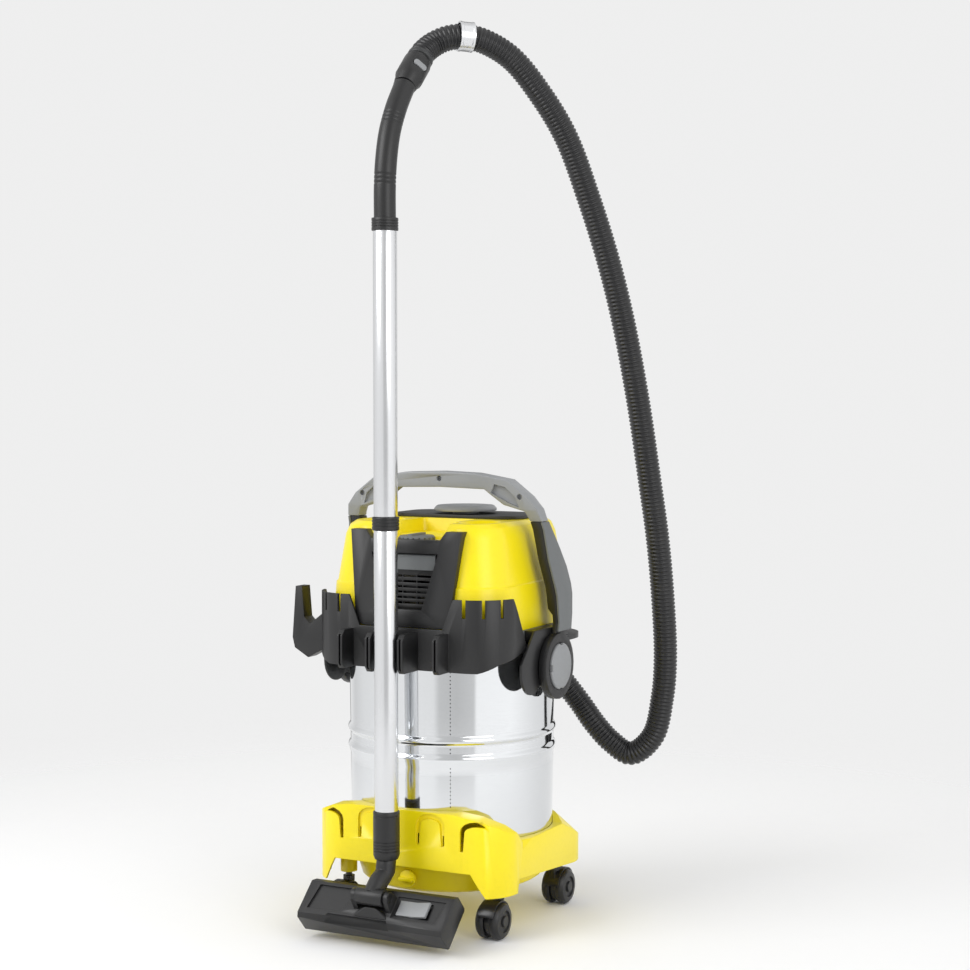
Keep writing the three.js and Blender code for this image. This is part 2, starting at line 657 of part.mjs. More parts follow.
function frontPanel() {
  const outline = solid(acrossY(panelOutline(), -200, -110, 5));
  const slab = solid(acrossX(polygon([[PANEL_BOTTOM_Y, PANEL_BOTTOM_Z - 1],
    [-110, PANEL_BOTTOM_Z - 1], [-110, PANEL_TOP_Z + 1], [PANEL_TOP_Y, PANEL_TOP_Z + 1]]), -150, 150));
  const head = solid(lofted(headSkin(GAP, TRAY_TOP_Z + GAP, SHELL_TOP_Z + GAP)));
  const opening = solid(acrossY(windowShape(0), -300, -100));
  const rear = solid(box(-150, 150, -124, 0, 400, 700));
  const dial = solid(cylinder(DIAL_R + 1, DIAL_Z - 1, 700, 36).translate(0, DIAL_Y, 0));
  return piece("front_panel",
    geometryOf(cut(outline.intersect(slab), head, opening, rear, dial)), BLACK);
}

function ventGrille() {
  const plate = solid(acrossY(windowShape(3), GRILLE_Y, GRILLE_Y + 4));
  const slots = [];
  for (let row = 0; row < 6; row++) {
    const z = WINDOW_BOTTOM_Z + 6 + row * 8;
    const half = WINDOW_BOTTOM_HALF - 3 + row * 2.3;
    for (const [x0, x1] of [[-half, -13], [-11, 11], [13, half]]) {
      slots.push(solid(box(x0, x1, GRILLE_Y - 1, GRILLE_Y + 5, z, z + 3)));
    }
  }
  return piece("vent_grille", geometryOf(cut(plate, ...slots)), BLACK);
}

const CATCH_Z = 566;
const CATCH_Y = GRILLE_Y - 7;

function panelCatch() {
  const blade = solid(acrossX(polygon([[CATCH_Y - 3, CATCH_Z - 22], [CATCH_Y, CATCH_Z - 22],
    [CATCH_Y + 2, CATCH_Z], [CATCH_Y - 1, CATCH_Z]]), -48, 48));
  const barrel = solid(cylinderX(2.4, -48, 48, CATCH_Y + 0.5, CATCH_Z - 1.5, 12));
  return piece("panel_catch", geometryOf(joined(blade, barrel)), GREY);
}

// ---------- motor, fan, filter and float ----------
const FAN_Z = TRAY_Z + 9;

function fanHousing() {
  const base0 = TRAY_Z + 5 + GAP;
  const profile = [[32, base0], [FAN_R + 7, base0], [FAN_R + 7, base0 + 30], [SHAFT_R + 2, base0 + 30],
    [SHAFT_R + 2, base0 + 27], [FAN_R + 4, base0 + 27], [FAN_R + 4, base0 + 2.5], [32, base0 + 2.5]];
  return piece("fan_housing", turned(profile, 28).translate(0, MOTOR_Y, 0), DARK);
}

function fan() {
  const disc = [[SHAFT_R + GAP, FAN_Z + 2], [FAN_R, FAN_Z + 2], [FAN_R, FAN_Z + 4],
    [12, FAN_Z + 6], [12, FAN_Z + 20], [SHAFT_R + GAP, FAN_Z + 20]];
  const blades = [];
  for (let i = 0; i < 7; i++) {
    const blade = box(11, FAN_R - 1, -1, 1, FAN_Z + 3, FAN_Z + 17);
    blades.push(solid(blade.rotateZ(i * 2 * Math.PI / 7)));
  }
  return piece("fan", geometryOf(joined(solid(turned(disc, 28)), ...blades))
    .translate(0, MOTOR_Y, 0), CHROME);
}

const STATOR_Z = TRAY_Z + 5 + 30 + 2 * GAP;

function motorStator() {
  const stator = pipe(22, MOTOR_R, STATOR_Z, STATOR_Z + 72, 32);
  return piece("motor_stator", stator.translate(0, MOTOR_Y, 0), COPPER);
}

function motorRotor() {
  const profile = [[0, FAN_Z + 1], [SHAFT_R, FAN_Z + 1], [SHAFT_R, STATOR_Z + 8], [20, STATOR_Z + 8],
    [20, STATOR_Z + 62], [SHAFT_R, STATOR_Z + 62], [SHAFT_R, STATOR_Z + 84], [0, STATOR_Z + 84]];
  return piece("motor_rotor", turned(profile, 24).translate(0, MOTOR_Y, 0), CHROME);
}

const FILTER_FRONT_Y = 28 - SHELL_HALF;
const FILTER_REAR_Y = FILTER_FRONT_Y + 38;
const FILTER_HALF = SHELL_HALF - 66;
const FILTER_Z = TRAY_Z + 22;
const FILTER_TOP_Z = 570;

function filterFrame() {
  const outer = solid(box(-FILTER_HALF, FILTER_HALF, FILTER_FRONT_Y, FILTER_REAR_Y, FILTER_Z,
    FILTER_TOP_Z));
  const inner = solid(box(6 - FILTER_HALF, FILTER_HALF - 6, FILTER_FRONT_Y - 1, FILTER_REAR_Y + 1,
    FILTER_Z + 6, FILTER_TOP_Z - 6));
  return piece("filter_frame", geometryOf(outer.subtract(inner)), BLACK);
}

function pleatedFilter() {
  const pleats = 13;
  const front = FILTER_FRONT_Y + 2;
  const rear = FILTER_REAR_Y - 2;
  const half = FILTER_HALF - 8;
  const pitch = 2 * half / pleats;
  const near = [];
  const far = [];
  for (let i = 0; i <= 2 * pleats; i++) {
    const x = i * pitch / 2 - half;
    const y = i % 2 ? rear - 3 : front;
    near.push([x, y]);
    far.push([x, y + 3]);
  }
  return piece("pleated_filter",
    upright(polygon([...near, ...far.reverse()]), FILTER_Z + 7, FILTER_TOP_Z - 7), PAPER);
}

const CAGE_TOP_Z = TRAY_Z - GAP;
const CAGE_Z = CAGE_TOP_Z - 62;
const CAGE_R = 44;

function floatCage() {
  const wall = solid(turned([[0, CAGE_Z], [CAGE_R - 4, CAGE_Z], [CAGE_R, CAGE_TOP_Z],
    [CAGE_R - 3, CAGE_TOP_Z], [CAGE_R - 7, CAGE_Z + 3], [0, CAGE_Z + 3]], 28));
  const windows = [];
  for (let i = 0; i < 4; i++) {
    const slot = box(-60, 60, -5, 5, CAGE_Z + 10, CAGE_TOP_Z - 10);
    windows.push(solid(slot.rotateZ(i * Math.PI / 4 + Math.PI / 8)));
  }
  return piece("float_cage", geometryOf(cut(wall, ...windows)).translate(0, MOTOR_Y, 0), BLACK);
}

function float() {
  const z = CAGE_Z + 3 + GAP;
  const cup = [[0, z], [26, z], [28, z + 4], [28, z + 26], [25, z + 26], [25, z + 4], [0, z + 4]];
  return piece("float", turned(cup, 24).translate(0, MOTOR_Y, 0), LIGHT);
}

// ---------- carrying handle ----------
// The handle's edges in x and z, from the pivot up to the middle of the grip.
const HANDLE_EDGE = [[DISC_OUT, 438], [DISC_OUT, 500], [DISC_OUT - 5, 535], [DISC_OUT - 9, 565],
  [DISC_OUT - 12, 590], [DISC_OUT - 15, GRIP_END_Z], [DISC_OUT - 20, 632], [DISC_OUT - 35, 650],
  [DISC_OUT - 68, 675], [60, 684], [0, 686]];
const HANDLE_INNER = [[DISC_IN, 438], [DISC_IN, 470], [DISC_OUT - 19.5, 480], [DISC_OUT - 21, 512],
  [DISC_OUT - 29, 565], [DISC_OUT - 36, GRIP_END_Z], [DISC_OUT - 42, 628], [DISC_OUT - 76, 637],
  [76, 660], [0, 662]];
const ARM_POINTS = 6;
const ARM_INNER_POINTS = 6;

// The handle seen from its side: upright at the grip, and bowed backwards over the pivot.
const HANDLE_FRONT = [[-8, 430], [0, 460], [-8, 510], [-20, 555], [-25, 600], [-38, 630], [-42, 650],
  [-42, 690]];
const HANDLE_REAR = [[-14, 690], [-14, 640], [-10, 618], [6, 594], [22, 570], [38, 542], [46, 515],
  [46, 470], [40, 430]];

function handleSide(inset) {
  return polygon([...HANDLE_FRONT.map(([y, z]) => [y + inset, z]),
    ...HANDLE_REAR.map(([y, z]) => [y - inset, z])].reverse());
}

function handleGrip() {
  const outer = HANDLE_EDGE.slice(ARM_POINTS - 1);
  const inner = HANDLE_INNER.slice(ARM_INNER_POINTS - 1);
  const flip = ([x, z]) => [-x, z];
  const loop = [...outer, ...outer.slice(0, -1).reverse().map(flip),
    ...inner.slice(0, -1).map(flip), ...inner.slice().reverse()];
  const front = solid(acrossY(polygon(loop), -100, 100));
  return piece("handle_grip", geometryOf(front.intersect(solid(acrossX(handleSide(0), -200, 200)))),
    LIGHT);
}

function armEdge(inset) {
  const edge = HANDLE_EDGE.slice(0, ARM_POINTS).map(([x, z]) => [x - inset, z]);
  edge[ARM_POINTS - 1][1] -= GAP;
  return edge;
}

function armStrip() {
  const low = PIVOT_Z + PIVOT_R + 2;
  const outer = [[HANDLE_EDGE[0][0], low], ...armEdge(0).slice(1)];
  const inner = [[HANDLE_EDGE[0][0] - STRIP, low], ...armEdge(STRIP).slice(1)];
  const band = solid(acrossY(polygon([...outer, ...inner.reverse()]), -100, 100));
  return geometryOf(band.intersect(solid(acrossX(handleSide(0), 100, 250))));
}

// Black ribbed web of an arm, with the pivot disc at its foot.
function armWeb() {
  const inner = HANDLE_INNER.slice(0, ARM_INNER_POINTS);
  inner[ARM_INNER_POINTS - 1] = [inner.at(-1)[0], GRIP_END_Z - GAP];
  const across = polygon([...armEdge(STRIP + GAP), ...inner.reverse()]);
  const block = solid(acrossY(across, -100, 100)).intersect(solid(acrossX(handleSide(1), 100, 250)));
  const core = polygon([[-8, 490], [-13, 535], [-17, 565], [-20, 590], [-22, 606], [-32, 606],
    [-25, 565], [-18.5, 512], [-17, 490]]
    .map(([x, z]) => [DISC_OUT + x, z]));
  const front = handleSide(1).getPoints();
  const shifted = polygon(front.map((p) => [p.x - 100 + 17, p.y]));
  const pocket = solid(acrossY(core, -100, 100)).intersect(solid(acrossX(shifted, 100, 250)));
  const disc = solid(cylinderX(PIVOT_R, DISC_IN, DISC_OUT, PIVOT_Y, PIVOT_Z, 28));
  const bore = solid(cylinderX(PIVOT_PIN_R + GAP, DISC_IN - 5, DISC_OUT - 5, PIVOT_Y, PIVOT_Z, 24));
  const capSeat = solid(cylinderX(CAP_R + GAP, DISC_OUT - 3, DISC_OUT + 9, PIVOT_Y, PIVOT_Z, 32));
  return geometryOf(cut(joined(block, disc), pocket, bore, capSeat));
}

function pivotCap() {
  const profile = [[0, -3 + GAP], [CAP_R, -3 + GAP], [CAP_R, 2], [CAP_R - 3, 4], [0, 4]];
  const cap = solid(turned(profile, 32));
  const notches = [0, 1, 2, 3].map((i) => solid(box(CAP_R - 2.5, CAP_R + 5, -5, 5, -5, 9)
    .rotateZ(i * Math.PI / 2)));
  return geometryOf(cut(cap, ...notches)).rotateY(Math.PI / 2).translate(DISC_OUT, PIVOT_Y, PIVOT_Z);
}

// Bracket on the head's side: an ear outside the ring, and the pin that the disc turns on.
function pivotBracket() {
  const plateIn = RING_HALF + 3;
  const shelfFront = WING_END_Y + 56;
  const ear = new THREE.Shape();
  ear.moveTo(PIVOT_Y + 38, PIVOT_Z);
  ear.lineTo(PIVOT_Y + 36, TRAY_TOP_Z);
  ear.lineTo(shelfFront, TRAY_TOP_Z);
  ear.lineTo(PIVOT_Y - 103, PIVOT_Z + 12);
  ear.absarc(PIVOT_Y - 67, PIVOT_Z, 36, Math.PI, 1.75 * Math.PI);
  ear.absarc(PIVOT_Y, PIVOT_Z, 38, 1.4 * Math.PI, 2 * Math.PI);
  ear.closePath();
  const plate = solid(acrossX(ear, plateIn, EAR_OUT, 6));
  const shelf = solid(box(TRAY_HALF + GAP, plateIn + 1, shelfFront, PIVOT_Y + 34, TRAY_Z + 2,
    TRAY_TOP_Z));
  const pin = solid(cylinderX(PIVOT_PIN_R, EAR_OUT - 1, DISC_OUT - 6, PIVOT_Y, PIVOT_Z, 24));
  return geometryOf(joined(plate, shelf, pin));
}

function pair(name, geometry, look) {
  return [piece(`${name}_right`, geometry, look), piece(`${name}_left`, mirroredX(geometry), look)];
}

function carryHandle() {
  const group = new THREE.Group();
  group.add(handleGrip(), ...pair("handle_strip", armStrip(), GREY));
  group.add(...pair("handle_web", armWeb(), BLACK), ...pair("pivot_cap", pivotCap(), LIGHT));
  return group;
}

// ---------- wand ----------
function wandTubes() {
  const inner = TUBE_R - TUBE_WALL;
  const lower = pipe(inner, TUBE_R, TUBE_BOTTOM_Z, TUBE_JOINT_Z);
  const upper = pipe(inner, TUBE_R, TUBE_JOINT_Z + GAP, TUBE_TOP_Z);
  const collar = pipe(TUBE_R + GAP, COLLAR_R, TUBE_JOINT_Z - COLLAR_HALF, TUBE_JOINT_Z + COLLAR_HALF);
  const sleeve = turned([[0, SLEEVE_Z], [SLEEVE_R - 2, SLEEVE_Z], [SLEEVE_R, SLEEVE_Z + 6],
    [SLEEVE_R, SLEEVE_TOP_Z], [TUBE_R + GAP, SLEEVE_TOP_Z], [TUBE_R + GAP, TUBE_BOTTOM_Z - GAP],
    [0, TUBE_BOTTOM_Z - GAP]], 28);
  const group = new THREE.Group();
  group.add(piece("wand_lower_tube", lower, CHROME), piece("wand_upper_tube", upper, CHROME));
  group.add(piece("wand_joint_collar", collar, BLACK), piece("wand_foot_sleeve", sleeve, BLACK));
  group.position.set(0, WAND_Y, 0);
  return group;
}

// Points along the curved grip, from its collar to the cuff.
const GRIP_POINTS = [[0, 0, 7], [0, 0, 54], [0, 4, 94], [0, 14, 134], [1, 31, 171], [2, 55, 207]]
  .map(([x, y, z]) => new THREE.Vector3(x, WAND_Y + y, TUBE_TOP_Z + z));
const CUFF_START = GRIP_POINTS.at(-1);
const CUFF_WAY = new THREE.Vector3(2, 46, 49).normalize();

function handGrip() {
  const collar = solid(turned([[0, TUBE_TOP_Z + GAP], [TUBE_R + GAP, TUBE_TOP_Z + GAP],
    [TUBE_R + GAP, GRIP_COLLAR_Z], [SLEEVE_R, GRIP_COLLAR_Z], [SLEEVE_R, GRIP_COLLAR_TOP_Z],
    [0, GRIP_COLLAR_TOP_Z]], 28).translate(0, WAND_Y, 0));
  const route = [...GRIP_POINTS, cuffPoint(12)];
  const bent = solid(swept(route, GRIP_PIPE_R, 14, 12)).subtract(beyond(CUFF_START, CUFF_WAY));
  return piece("hand_grip", geometryOf(joined(collar, bent)), BLACK);
}

function cuffPoint(distance) {
  return CUFF_START.clone().addScaledVector(CUFF_WAY, distance);
}

const BUTTON_AT = 34;
const BUTTON_TURN = THREE.MathUtils.degToRad(-32);

function buttonShape(grow) {
  return solid(upright(roundedRectangle(-5 - grow, 5 + grow, -11 - grow, 11 + grow, 5 + grow), 0, 30));
}

function gripCuff() {
  const profile = [[0, GAP], [GRIP_PIPE_R + 1, GAP], [CUFF_R - 2, 12], [CUFF_R, 16],
    [CUFF_R, CUFF_LENGTH - 6], [CUFF_R - 2, CUFF_LENGTH], [0, CUFF_LENGTH]];
  const pocket = buttonShape(GAP).translate([0, 0, CUFF_R - 7]).rotate([0, 90, 0])
    .translate([0, 0, BUTTON_AT]);
  const cuff = geometryOf(solid(turned(profile, 20)).subtract(pocket));
  return aimedCuff(piece("grip_cuff", cuff, BLACK));
}

function cuffButton() {
  const body = buttonShape(0).intersect(solid(cylinder(40, 0.4, 4.4, 8)));
  const button = body.translate([0, 0, CUFF_R - 4]).rotate([0, 90, 0]).translate([0, 0, BUTTON_AT]);
  return aimedCuff(piece("cuff_button", geometryOf(button), LIGHT));
}

function aimedCuff(mesh) {
  aimed(mesh, CUFF_START, CUFF_WAY);
  mesh.rotateZ(BUTTON_TURN);
  return mesh;
}

function swivelRing() {
  const ring = turned([[0, 0], [CUFF_R - 3, 0], [CUFF_R - 1, 2], [CUFF_R - 1, SWIVEL_LENGTH],
    [0, SWIVEL_LENGTH]], 20);
  return aimed(piece("hose_swivel", ring, DARK), cuffPoint(CUFF_LENGTH + GAP), CUFF_WAY);
}

// ---------- floor nozzle ----------
// Drawn lying flat: x across, y to its rear edge, the top face at z = 0.
function nozzleBody() {
  const half = NOZZLE_HALF_LENGTH;
  const low = -NOZZLE_HEIGHT;
  const section = polygon([[-half + 3, low], [half - 3, low], [half, low + 3], [half, -9],
    [half - 9, 0], [-half + 6, 0], [-half, -5], [-half, low + 3]]);
  const block = solid(acrossX(section, -NOZZLE_HALF_WIDTH, NOZZLE_HALF_WIDTH));
  const mouth = solid(box(-100, 100, -6, 14, low - 1, -8));
  const brushSlot = solid(box(-101, 101, -24, -17, low - 1, -20));
  const well = solid(box(PEDAL_X - 27, PEDAL_X + 27, -13, 13, -7, 1));
  const ears = [-1, 1].map((side) => {
    const ear = new THREE.Shape();
    ear.moveTo(HINGE_BACK - 14, -1);
    ear.lineTo(HINGE_BACK + 14, -1);
    ear.absarc(HINGE_BACK, HINGE_UP, 10, 0, Math.PI);
    ear.closePath();
    const x = side * 27;
    return solid(acrossX(ear, x - 4, x + 4, 8));
  });
  const pinHole = solid(cylinderX(5 + GAP, -40, 40, HINGE_BACK, HINGE_UP));
  return geometryOf(cut(joined(block, ...ears), mouth, brushSlot, well, pinHole));
}

const PEDAL_X = 64;
const PEDAL_PIN_Z = -2.5;
const PEDAL_TURN = THREE.MathUtils.degToRad(-6);

function rockerPedal() {
  const shape = polygon([[-25, -1.6], [0, -3.6], [25, -1.6], [25, 3], [2, 0.5], [-25, 3]]);
  const rocker = solid(acrossY(shape, -12, 12));
  const pin = solid(cylinderY(2, -12.4, 12.4, 0, -2, 12));
  return geometryOf(rocker.add(pin)).translate(0, 0, 2).rotateY(PEDAL_TURN)
    .translate(PEDAL_X, 0, PEDAL_PIN_Z);
}

function combStrip() {
  const low = -NOZZLE_HEIGHT - LIP;
  const bar = solid(box(-100, 100, -23.5, -17.5, low + 6, -25));
  const teeth = [];
  for (let x = -96; x <= 96; x += 12) {
    teeth.push(solid(box(x - 4, x + 4, -22.5, -18.5, low, low + 7)));
  }
  return geometryOf(joined(bar, ...teeth));
}

function nozzle() {
  const group = new THREE.Group();
  group.add(piece("nozzle_body", nozzleBody(), BLACK));
  group.add(piece("nozzle_pedal", rockerPedal(), LIGHT));
  group.add(piece("nozzle_comb", combStrip(), RUBBER));
  group.rotation.x = NOZZLE_TILT;
  const lowest = -NOZZLE_HALF_LENGTH * Math.sin(NOZZLE_TILT)
    - (NOZZLE_HEIGHT - 3) * Math.cos(NOZZLE_TILT);
  const corner = -(NOZZLE_HALF_LENGTH - 3) * Math.sin(NOZZLE_TILT)
    - NOZZLE_HEIGHT * Math.cos(NOZZLE_TILT);
  group.position.set(NOZZLE_X, NOZZLE_Y, NOZZLE_LIFT - Math.min(lowest, corner));
  return group;
}

// The nozzle's hinge in the drum's frame.
function nozzleHinge(group) {
  const y = HINGE_BACK * Math.cos(NOZZLE_TILT) - HINGE_UP * Math.sin(NOZZLE_TILT);
  const z = HINGE_BACK * Math.sin(NOZZLE_TILT) + HINGE_UP * Math.cos(NOZZLE_TILT);
  return new THREE.Vector3(NOZZLE_X, group.position.y + y, group.position.z + z);
}

function nozzleNeck(hinge) {
  const top = new THREE.Vector3(0, WAND_Y, SLEEVE_Z - GAP);
  const arm = solid(swept([new THREE.Vector3(hinge.x, hinge.y + 1, hinge.z + 1),
    new THREE.Vector3(hinge.x / 2, hinge.y + 24, hinge.z + 22),
    new THREE.Vector3(0, WAND_Y - 6, SLEEVE_Z - 22), top], 14.5, 12, 7));
  const trim = solid(box(-60, 60, -400, 0, SLEEVE_Z - GAP, 300));
  const barrel = solid(cylinderX(13, hinge.x - 22, hinge.x + 22, hinge.y, hinge.z, 24));
  const pin = solid(cylinderX(5, hinge.x - 30, hinge.x + 30, hinge.y, hinge.z, 16));
  return piece("nozzle_neck", geometryOf(joined(arm.subtract(trim), barrel, pin)), BLACK);
}

// ---------- inlet elbow and hose ----------
const INLET_OUT = new THREE.Vector3(Math.cos(INLET_ANGLE), Math.sin(INLET_ANGLE), 0);
const INLET_MOUTH = INLET_OUT.clone().multiplyScalar(DRUM_TOP_R + 44).setZ(372);
const INLET_WAY = INLET_OUT.clone().multiplyScalar(0.766).setZ(-0.643);

function inletElbow() {
  const wall = drumRadius(INLET_Z) + GAP;
  const start = INLET_OUT.clone().multiplyScalar(wall - 8).setZ(INLET_Z);
  const bend = INLET_OUT.clone().multiplyScalar(wall + 16).setZ(INLET_Z);
  const end = INLET_MOUTH.clone().addScaledVector(INLET_WAY, 6);
  const past = beyond(INLET_MOUTH.clone().addScaledVector(INLET_WAY, -GAP), INLET_WAY);
  const elbow = solid(swept([start, bend, end], INLET_R - 1, 14, 7)).subtract(past);
  const flange = solid(cylinder(INLET_R + 7, wall - 6, wall + 5, 28).rotateY(Math.PI / 2)
    .rotateZ(INLET_ANGLE).translate(0, 0, INLET_Z));
  const inside = solid(cylinder(drumRadius(INLET_Z) + GAP + 0.6, 300, 500, 48));
  return piece("inlet_elbow", geometryOf(joined(elbow, flange).subtract(inside)), BLACK);
}

function lowerCuff() {
  const cuff = turned([[0, 0], [INLET_R - 1, 0], [INLET_R, 3], [INLET_R, 18], [INLET_R - 1, 22],
    [0, 22]], 20);
  return aimed(piece("hose_cuff", cuff, DARK), INLET_MOUTH, INLET_WAY);
}

// Points chosen along the hose, from the swivel ring to the lower cuff.
const HOSE_ROUTE = [[13, -81, 1323], [30, -67, 1333], [50, -50, 1336], [72, -28, 1330],
  [100, 5, 1308], [131, 42, 1257], [157, 78, 1195], [180, 112, 1104], [200, 140, 1012],
  [216, 162, 920], [232, 186, 794], [245, 204, 668], [254, 217, 573], [259, 228, 477],
  [260, 237, 381], [254, 240, 317], [238, 238, 253], [203, 232, 224], [170, 229, 241],
  [141, 229, 268], [113, 231, 301]].map((p) => new THREE.Vector3(...p));
const BAND_POINT = 2;

function hosePath() {
  const start = cuffPoint(CUFF_LENGTH + SWIVEL_LENGTH + 2 * GAP);
  const end = INLET_MOUTH.clone().addScaledVector(INLET_WAY, 22 + GAP);
  return [start, start.clone().addScaledVector(CUFF_WAY, 8), ...HOSE_ROUTE,
    end.clone().addScaledVector(INLET_WAY, 8), end];
}

function hose() {
  return piece("hose", swept(hosePath(), HOSE_R, 10, 76), RUBBER);
}

function hoseBand() {
  const [before, at, after] = HOSE_ROUTE.slice(BAND_POINT - 1, BAND_POINT + 2);
  const way = after.clone().sub(before).normalize();
  const band = pipe(HOSE_R + 2.2, HOSE_R + 3.4, -BAND_LENGTH / 2, BAND_LENGTH / 2, 20);
  return aimed(piece("hose_band", band, CHROME), at, way);
}

// ---------- the whole machine ----------
function head() {
  const group = new THREE.Group();
  group.add(headTray(), headShell(), cordGland(), topPlate(), topCap(), powerDial());
  group.add(frontPanel(), ventGrille(), panelCatch(), fanHousing(), fan(), motorStator());
  group.add(motorRotor(), filterFrame(), pleatedFilter(), floatCage(), float());
  group.add(...pair("pivot_bracket", pivotBracket(), BLACK), carryHandle());
  return group;
}

function machine() {
  const group = new THREE.Group();
  group.add(base(), drainPlug(), castors(), drum(), drumSeal(), accessoryRing(), head());
  return group;
}

function wand() {
  const group = new THREE.Group();
  const floorNozzle = nozzle();
  group.add(wandTubes(), handGrip(), gripCuff(), cuffButton(), swivelRing(), floorNozzle);
  group.add(nozzleNeck(nozzleHinge(floorNozzle)));
  return group;
}

const vacuum = new THREE.Group();
vacuum.position.set(DRUM_X, DRUM_Y, 0);
vacuum.add(machine(), wand(), inletElbow(), lowerCuff(), hose(), hoseBand());

export default vacuum;
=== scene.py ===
# %% [markdown]
# A wet and dry shop vacuum, dressed for its portrait.
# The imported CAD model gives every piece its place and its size. This lesson adds what a maker would
# see up close: ribs on the hose, rolled beads in the steel drum, grained black mouldings, screw holes,
# welds and slots. Everything is in metres, with the floor at z = 0 and the wand on the -Y side.

import json
import math

import bmesh
import bpy
from mathutils import Matrix, Vector

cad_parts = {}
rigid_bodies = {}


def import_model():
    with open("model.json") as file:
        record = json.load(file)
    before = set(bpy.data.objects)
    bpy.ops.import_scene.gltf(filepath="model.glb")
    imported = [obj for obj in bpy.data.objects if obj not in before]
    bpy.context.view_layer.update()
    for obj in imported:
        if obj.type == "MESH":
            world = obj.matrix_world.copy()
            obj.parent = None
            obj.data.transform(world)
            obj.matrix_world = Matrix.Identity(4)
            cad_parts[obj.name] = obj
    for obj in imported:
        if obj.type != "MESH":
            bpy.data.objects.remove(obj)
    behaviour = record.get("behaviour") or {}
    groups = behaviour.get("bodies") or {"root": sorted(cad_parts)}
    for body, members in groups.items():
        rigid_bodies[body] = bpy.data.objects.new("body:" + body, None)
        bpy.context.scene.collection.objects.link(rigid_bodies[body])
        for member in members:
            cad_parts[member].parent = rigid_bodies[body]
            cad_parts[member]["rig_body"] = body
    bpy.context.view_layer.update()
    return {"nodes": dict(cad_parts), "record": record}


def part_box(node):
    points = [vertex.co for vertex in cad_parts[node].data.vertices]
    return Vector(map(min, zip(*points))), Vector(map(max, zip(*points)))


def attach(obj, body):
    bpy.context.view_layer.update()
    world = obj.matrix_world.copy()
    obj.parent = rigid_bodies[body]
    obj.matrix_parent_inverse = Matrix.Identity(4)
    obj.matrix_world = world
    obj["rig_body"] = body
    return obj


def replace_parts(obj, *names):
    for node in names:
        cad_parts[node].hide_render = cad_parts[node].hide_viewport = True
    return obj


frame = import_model()
nodes = frame["nodes"]

# %% [markdown]
# The camera comes first. It stands 3 m from the drum at waist height, turned 28 degrees to the
# machine's right, with a long lens so that the tall wand stays almost upright.

# %% Camera
DRUM = Vector((0.011, 0.026, 0))
VIEW_ANGLE = math.radians(28)
VIEW_DISTANCE = 3.0
VIEW_HEIGHT = 0.81
LENS, SENSOR = 72.2, 36
AIM_ASIDE, AIM_HEIGHT = 0.051, 0.663


def make_camera():
    toward = Vector((math.sin(VIEW_ANGLE), -math.cos(VIEW_ANGLE), 0))
    across = Vector((math.cos(VIEW_ANGLE), math.sin(VIEW_ANGLE), 0))
    data = bpy.data.cameras.new("portrait camera")
    data.lens = LENS
    data.sensor_width = SENSOR
    camera = bpy.data.objects.new("portrait camera", data)
    bpy.context.scene.collection.objects.link(camera)
    camera.location = DRUM + toward * VIEW_DISTANCE + Vector((0, 0, VIEW_HEIGHT))
    target = DRUM + across * AIM_ASIDE + Vector((0, 0, AIM_HEIGHT))
    camera.rotation_euler = (target - camera.location).to_track_quat("-Z", "Y").to_euler()
    bpy.context.scene.camera = camera
    return camera


camera = make_camera()
print("camera at", [round(v, 3) for v in camera.location])

# %% [markdown]
# Finishes are node trees. Written as plain node calls they are long and hard to read, so two small
# classes help. Wire wraps one socket and lets sums be written as sums. Finish makes the nodes, with
# one method for every kind: its type, its settings, and what goes into its sockets.

# %% Wires and finishes
class Wire:
    """One output socket that ordinary arithmetic can be written with."""

    def __init__(self, finish, output):
        self.finish = finish
        self.output = output

    def maths(self, operation, first, second):
        return self.finish.node("ShaderNodeMath", {"operation": operation}, [first, second])

    def __add__(self, other):
        return self.maths("ADD", self, other)

    def __radd__(self, other):
        return self.maths("ADD", other, self)

    def __sub__(self, other):
        return self.maths("SUBTRACT", self, other)

    def __rsub__(self, other):
        return self.maths("SUBTRACT", other, self)

    def __mul__(self, other):
        return self.maths("MULTIPLY", self, other)

    def __rmul__(self, other):
        return self.maths("MULTIPLY", other, self)


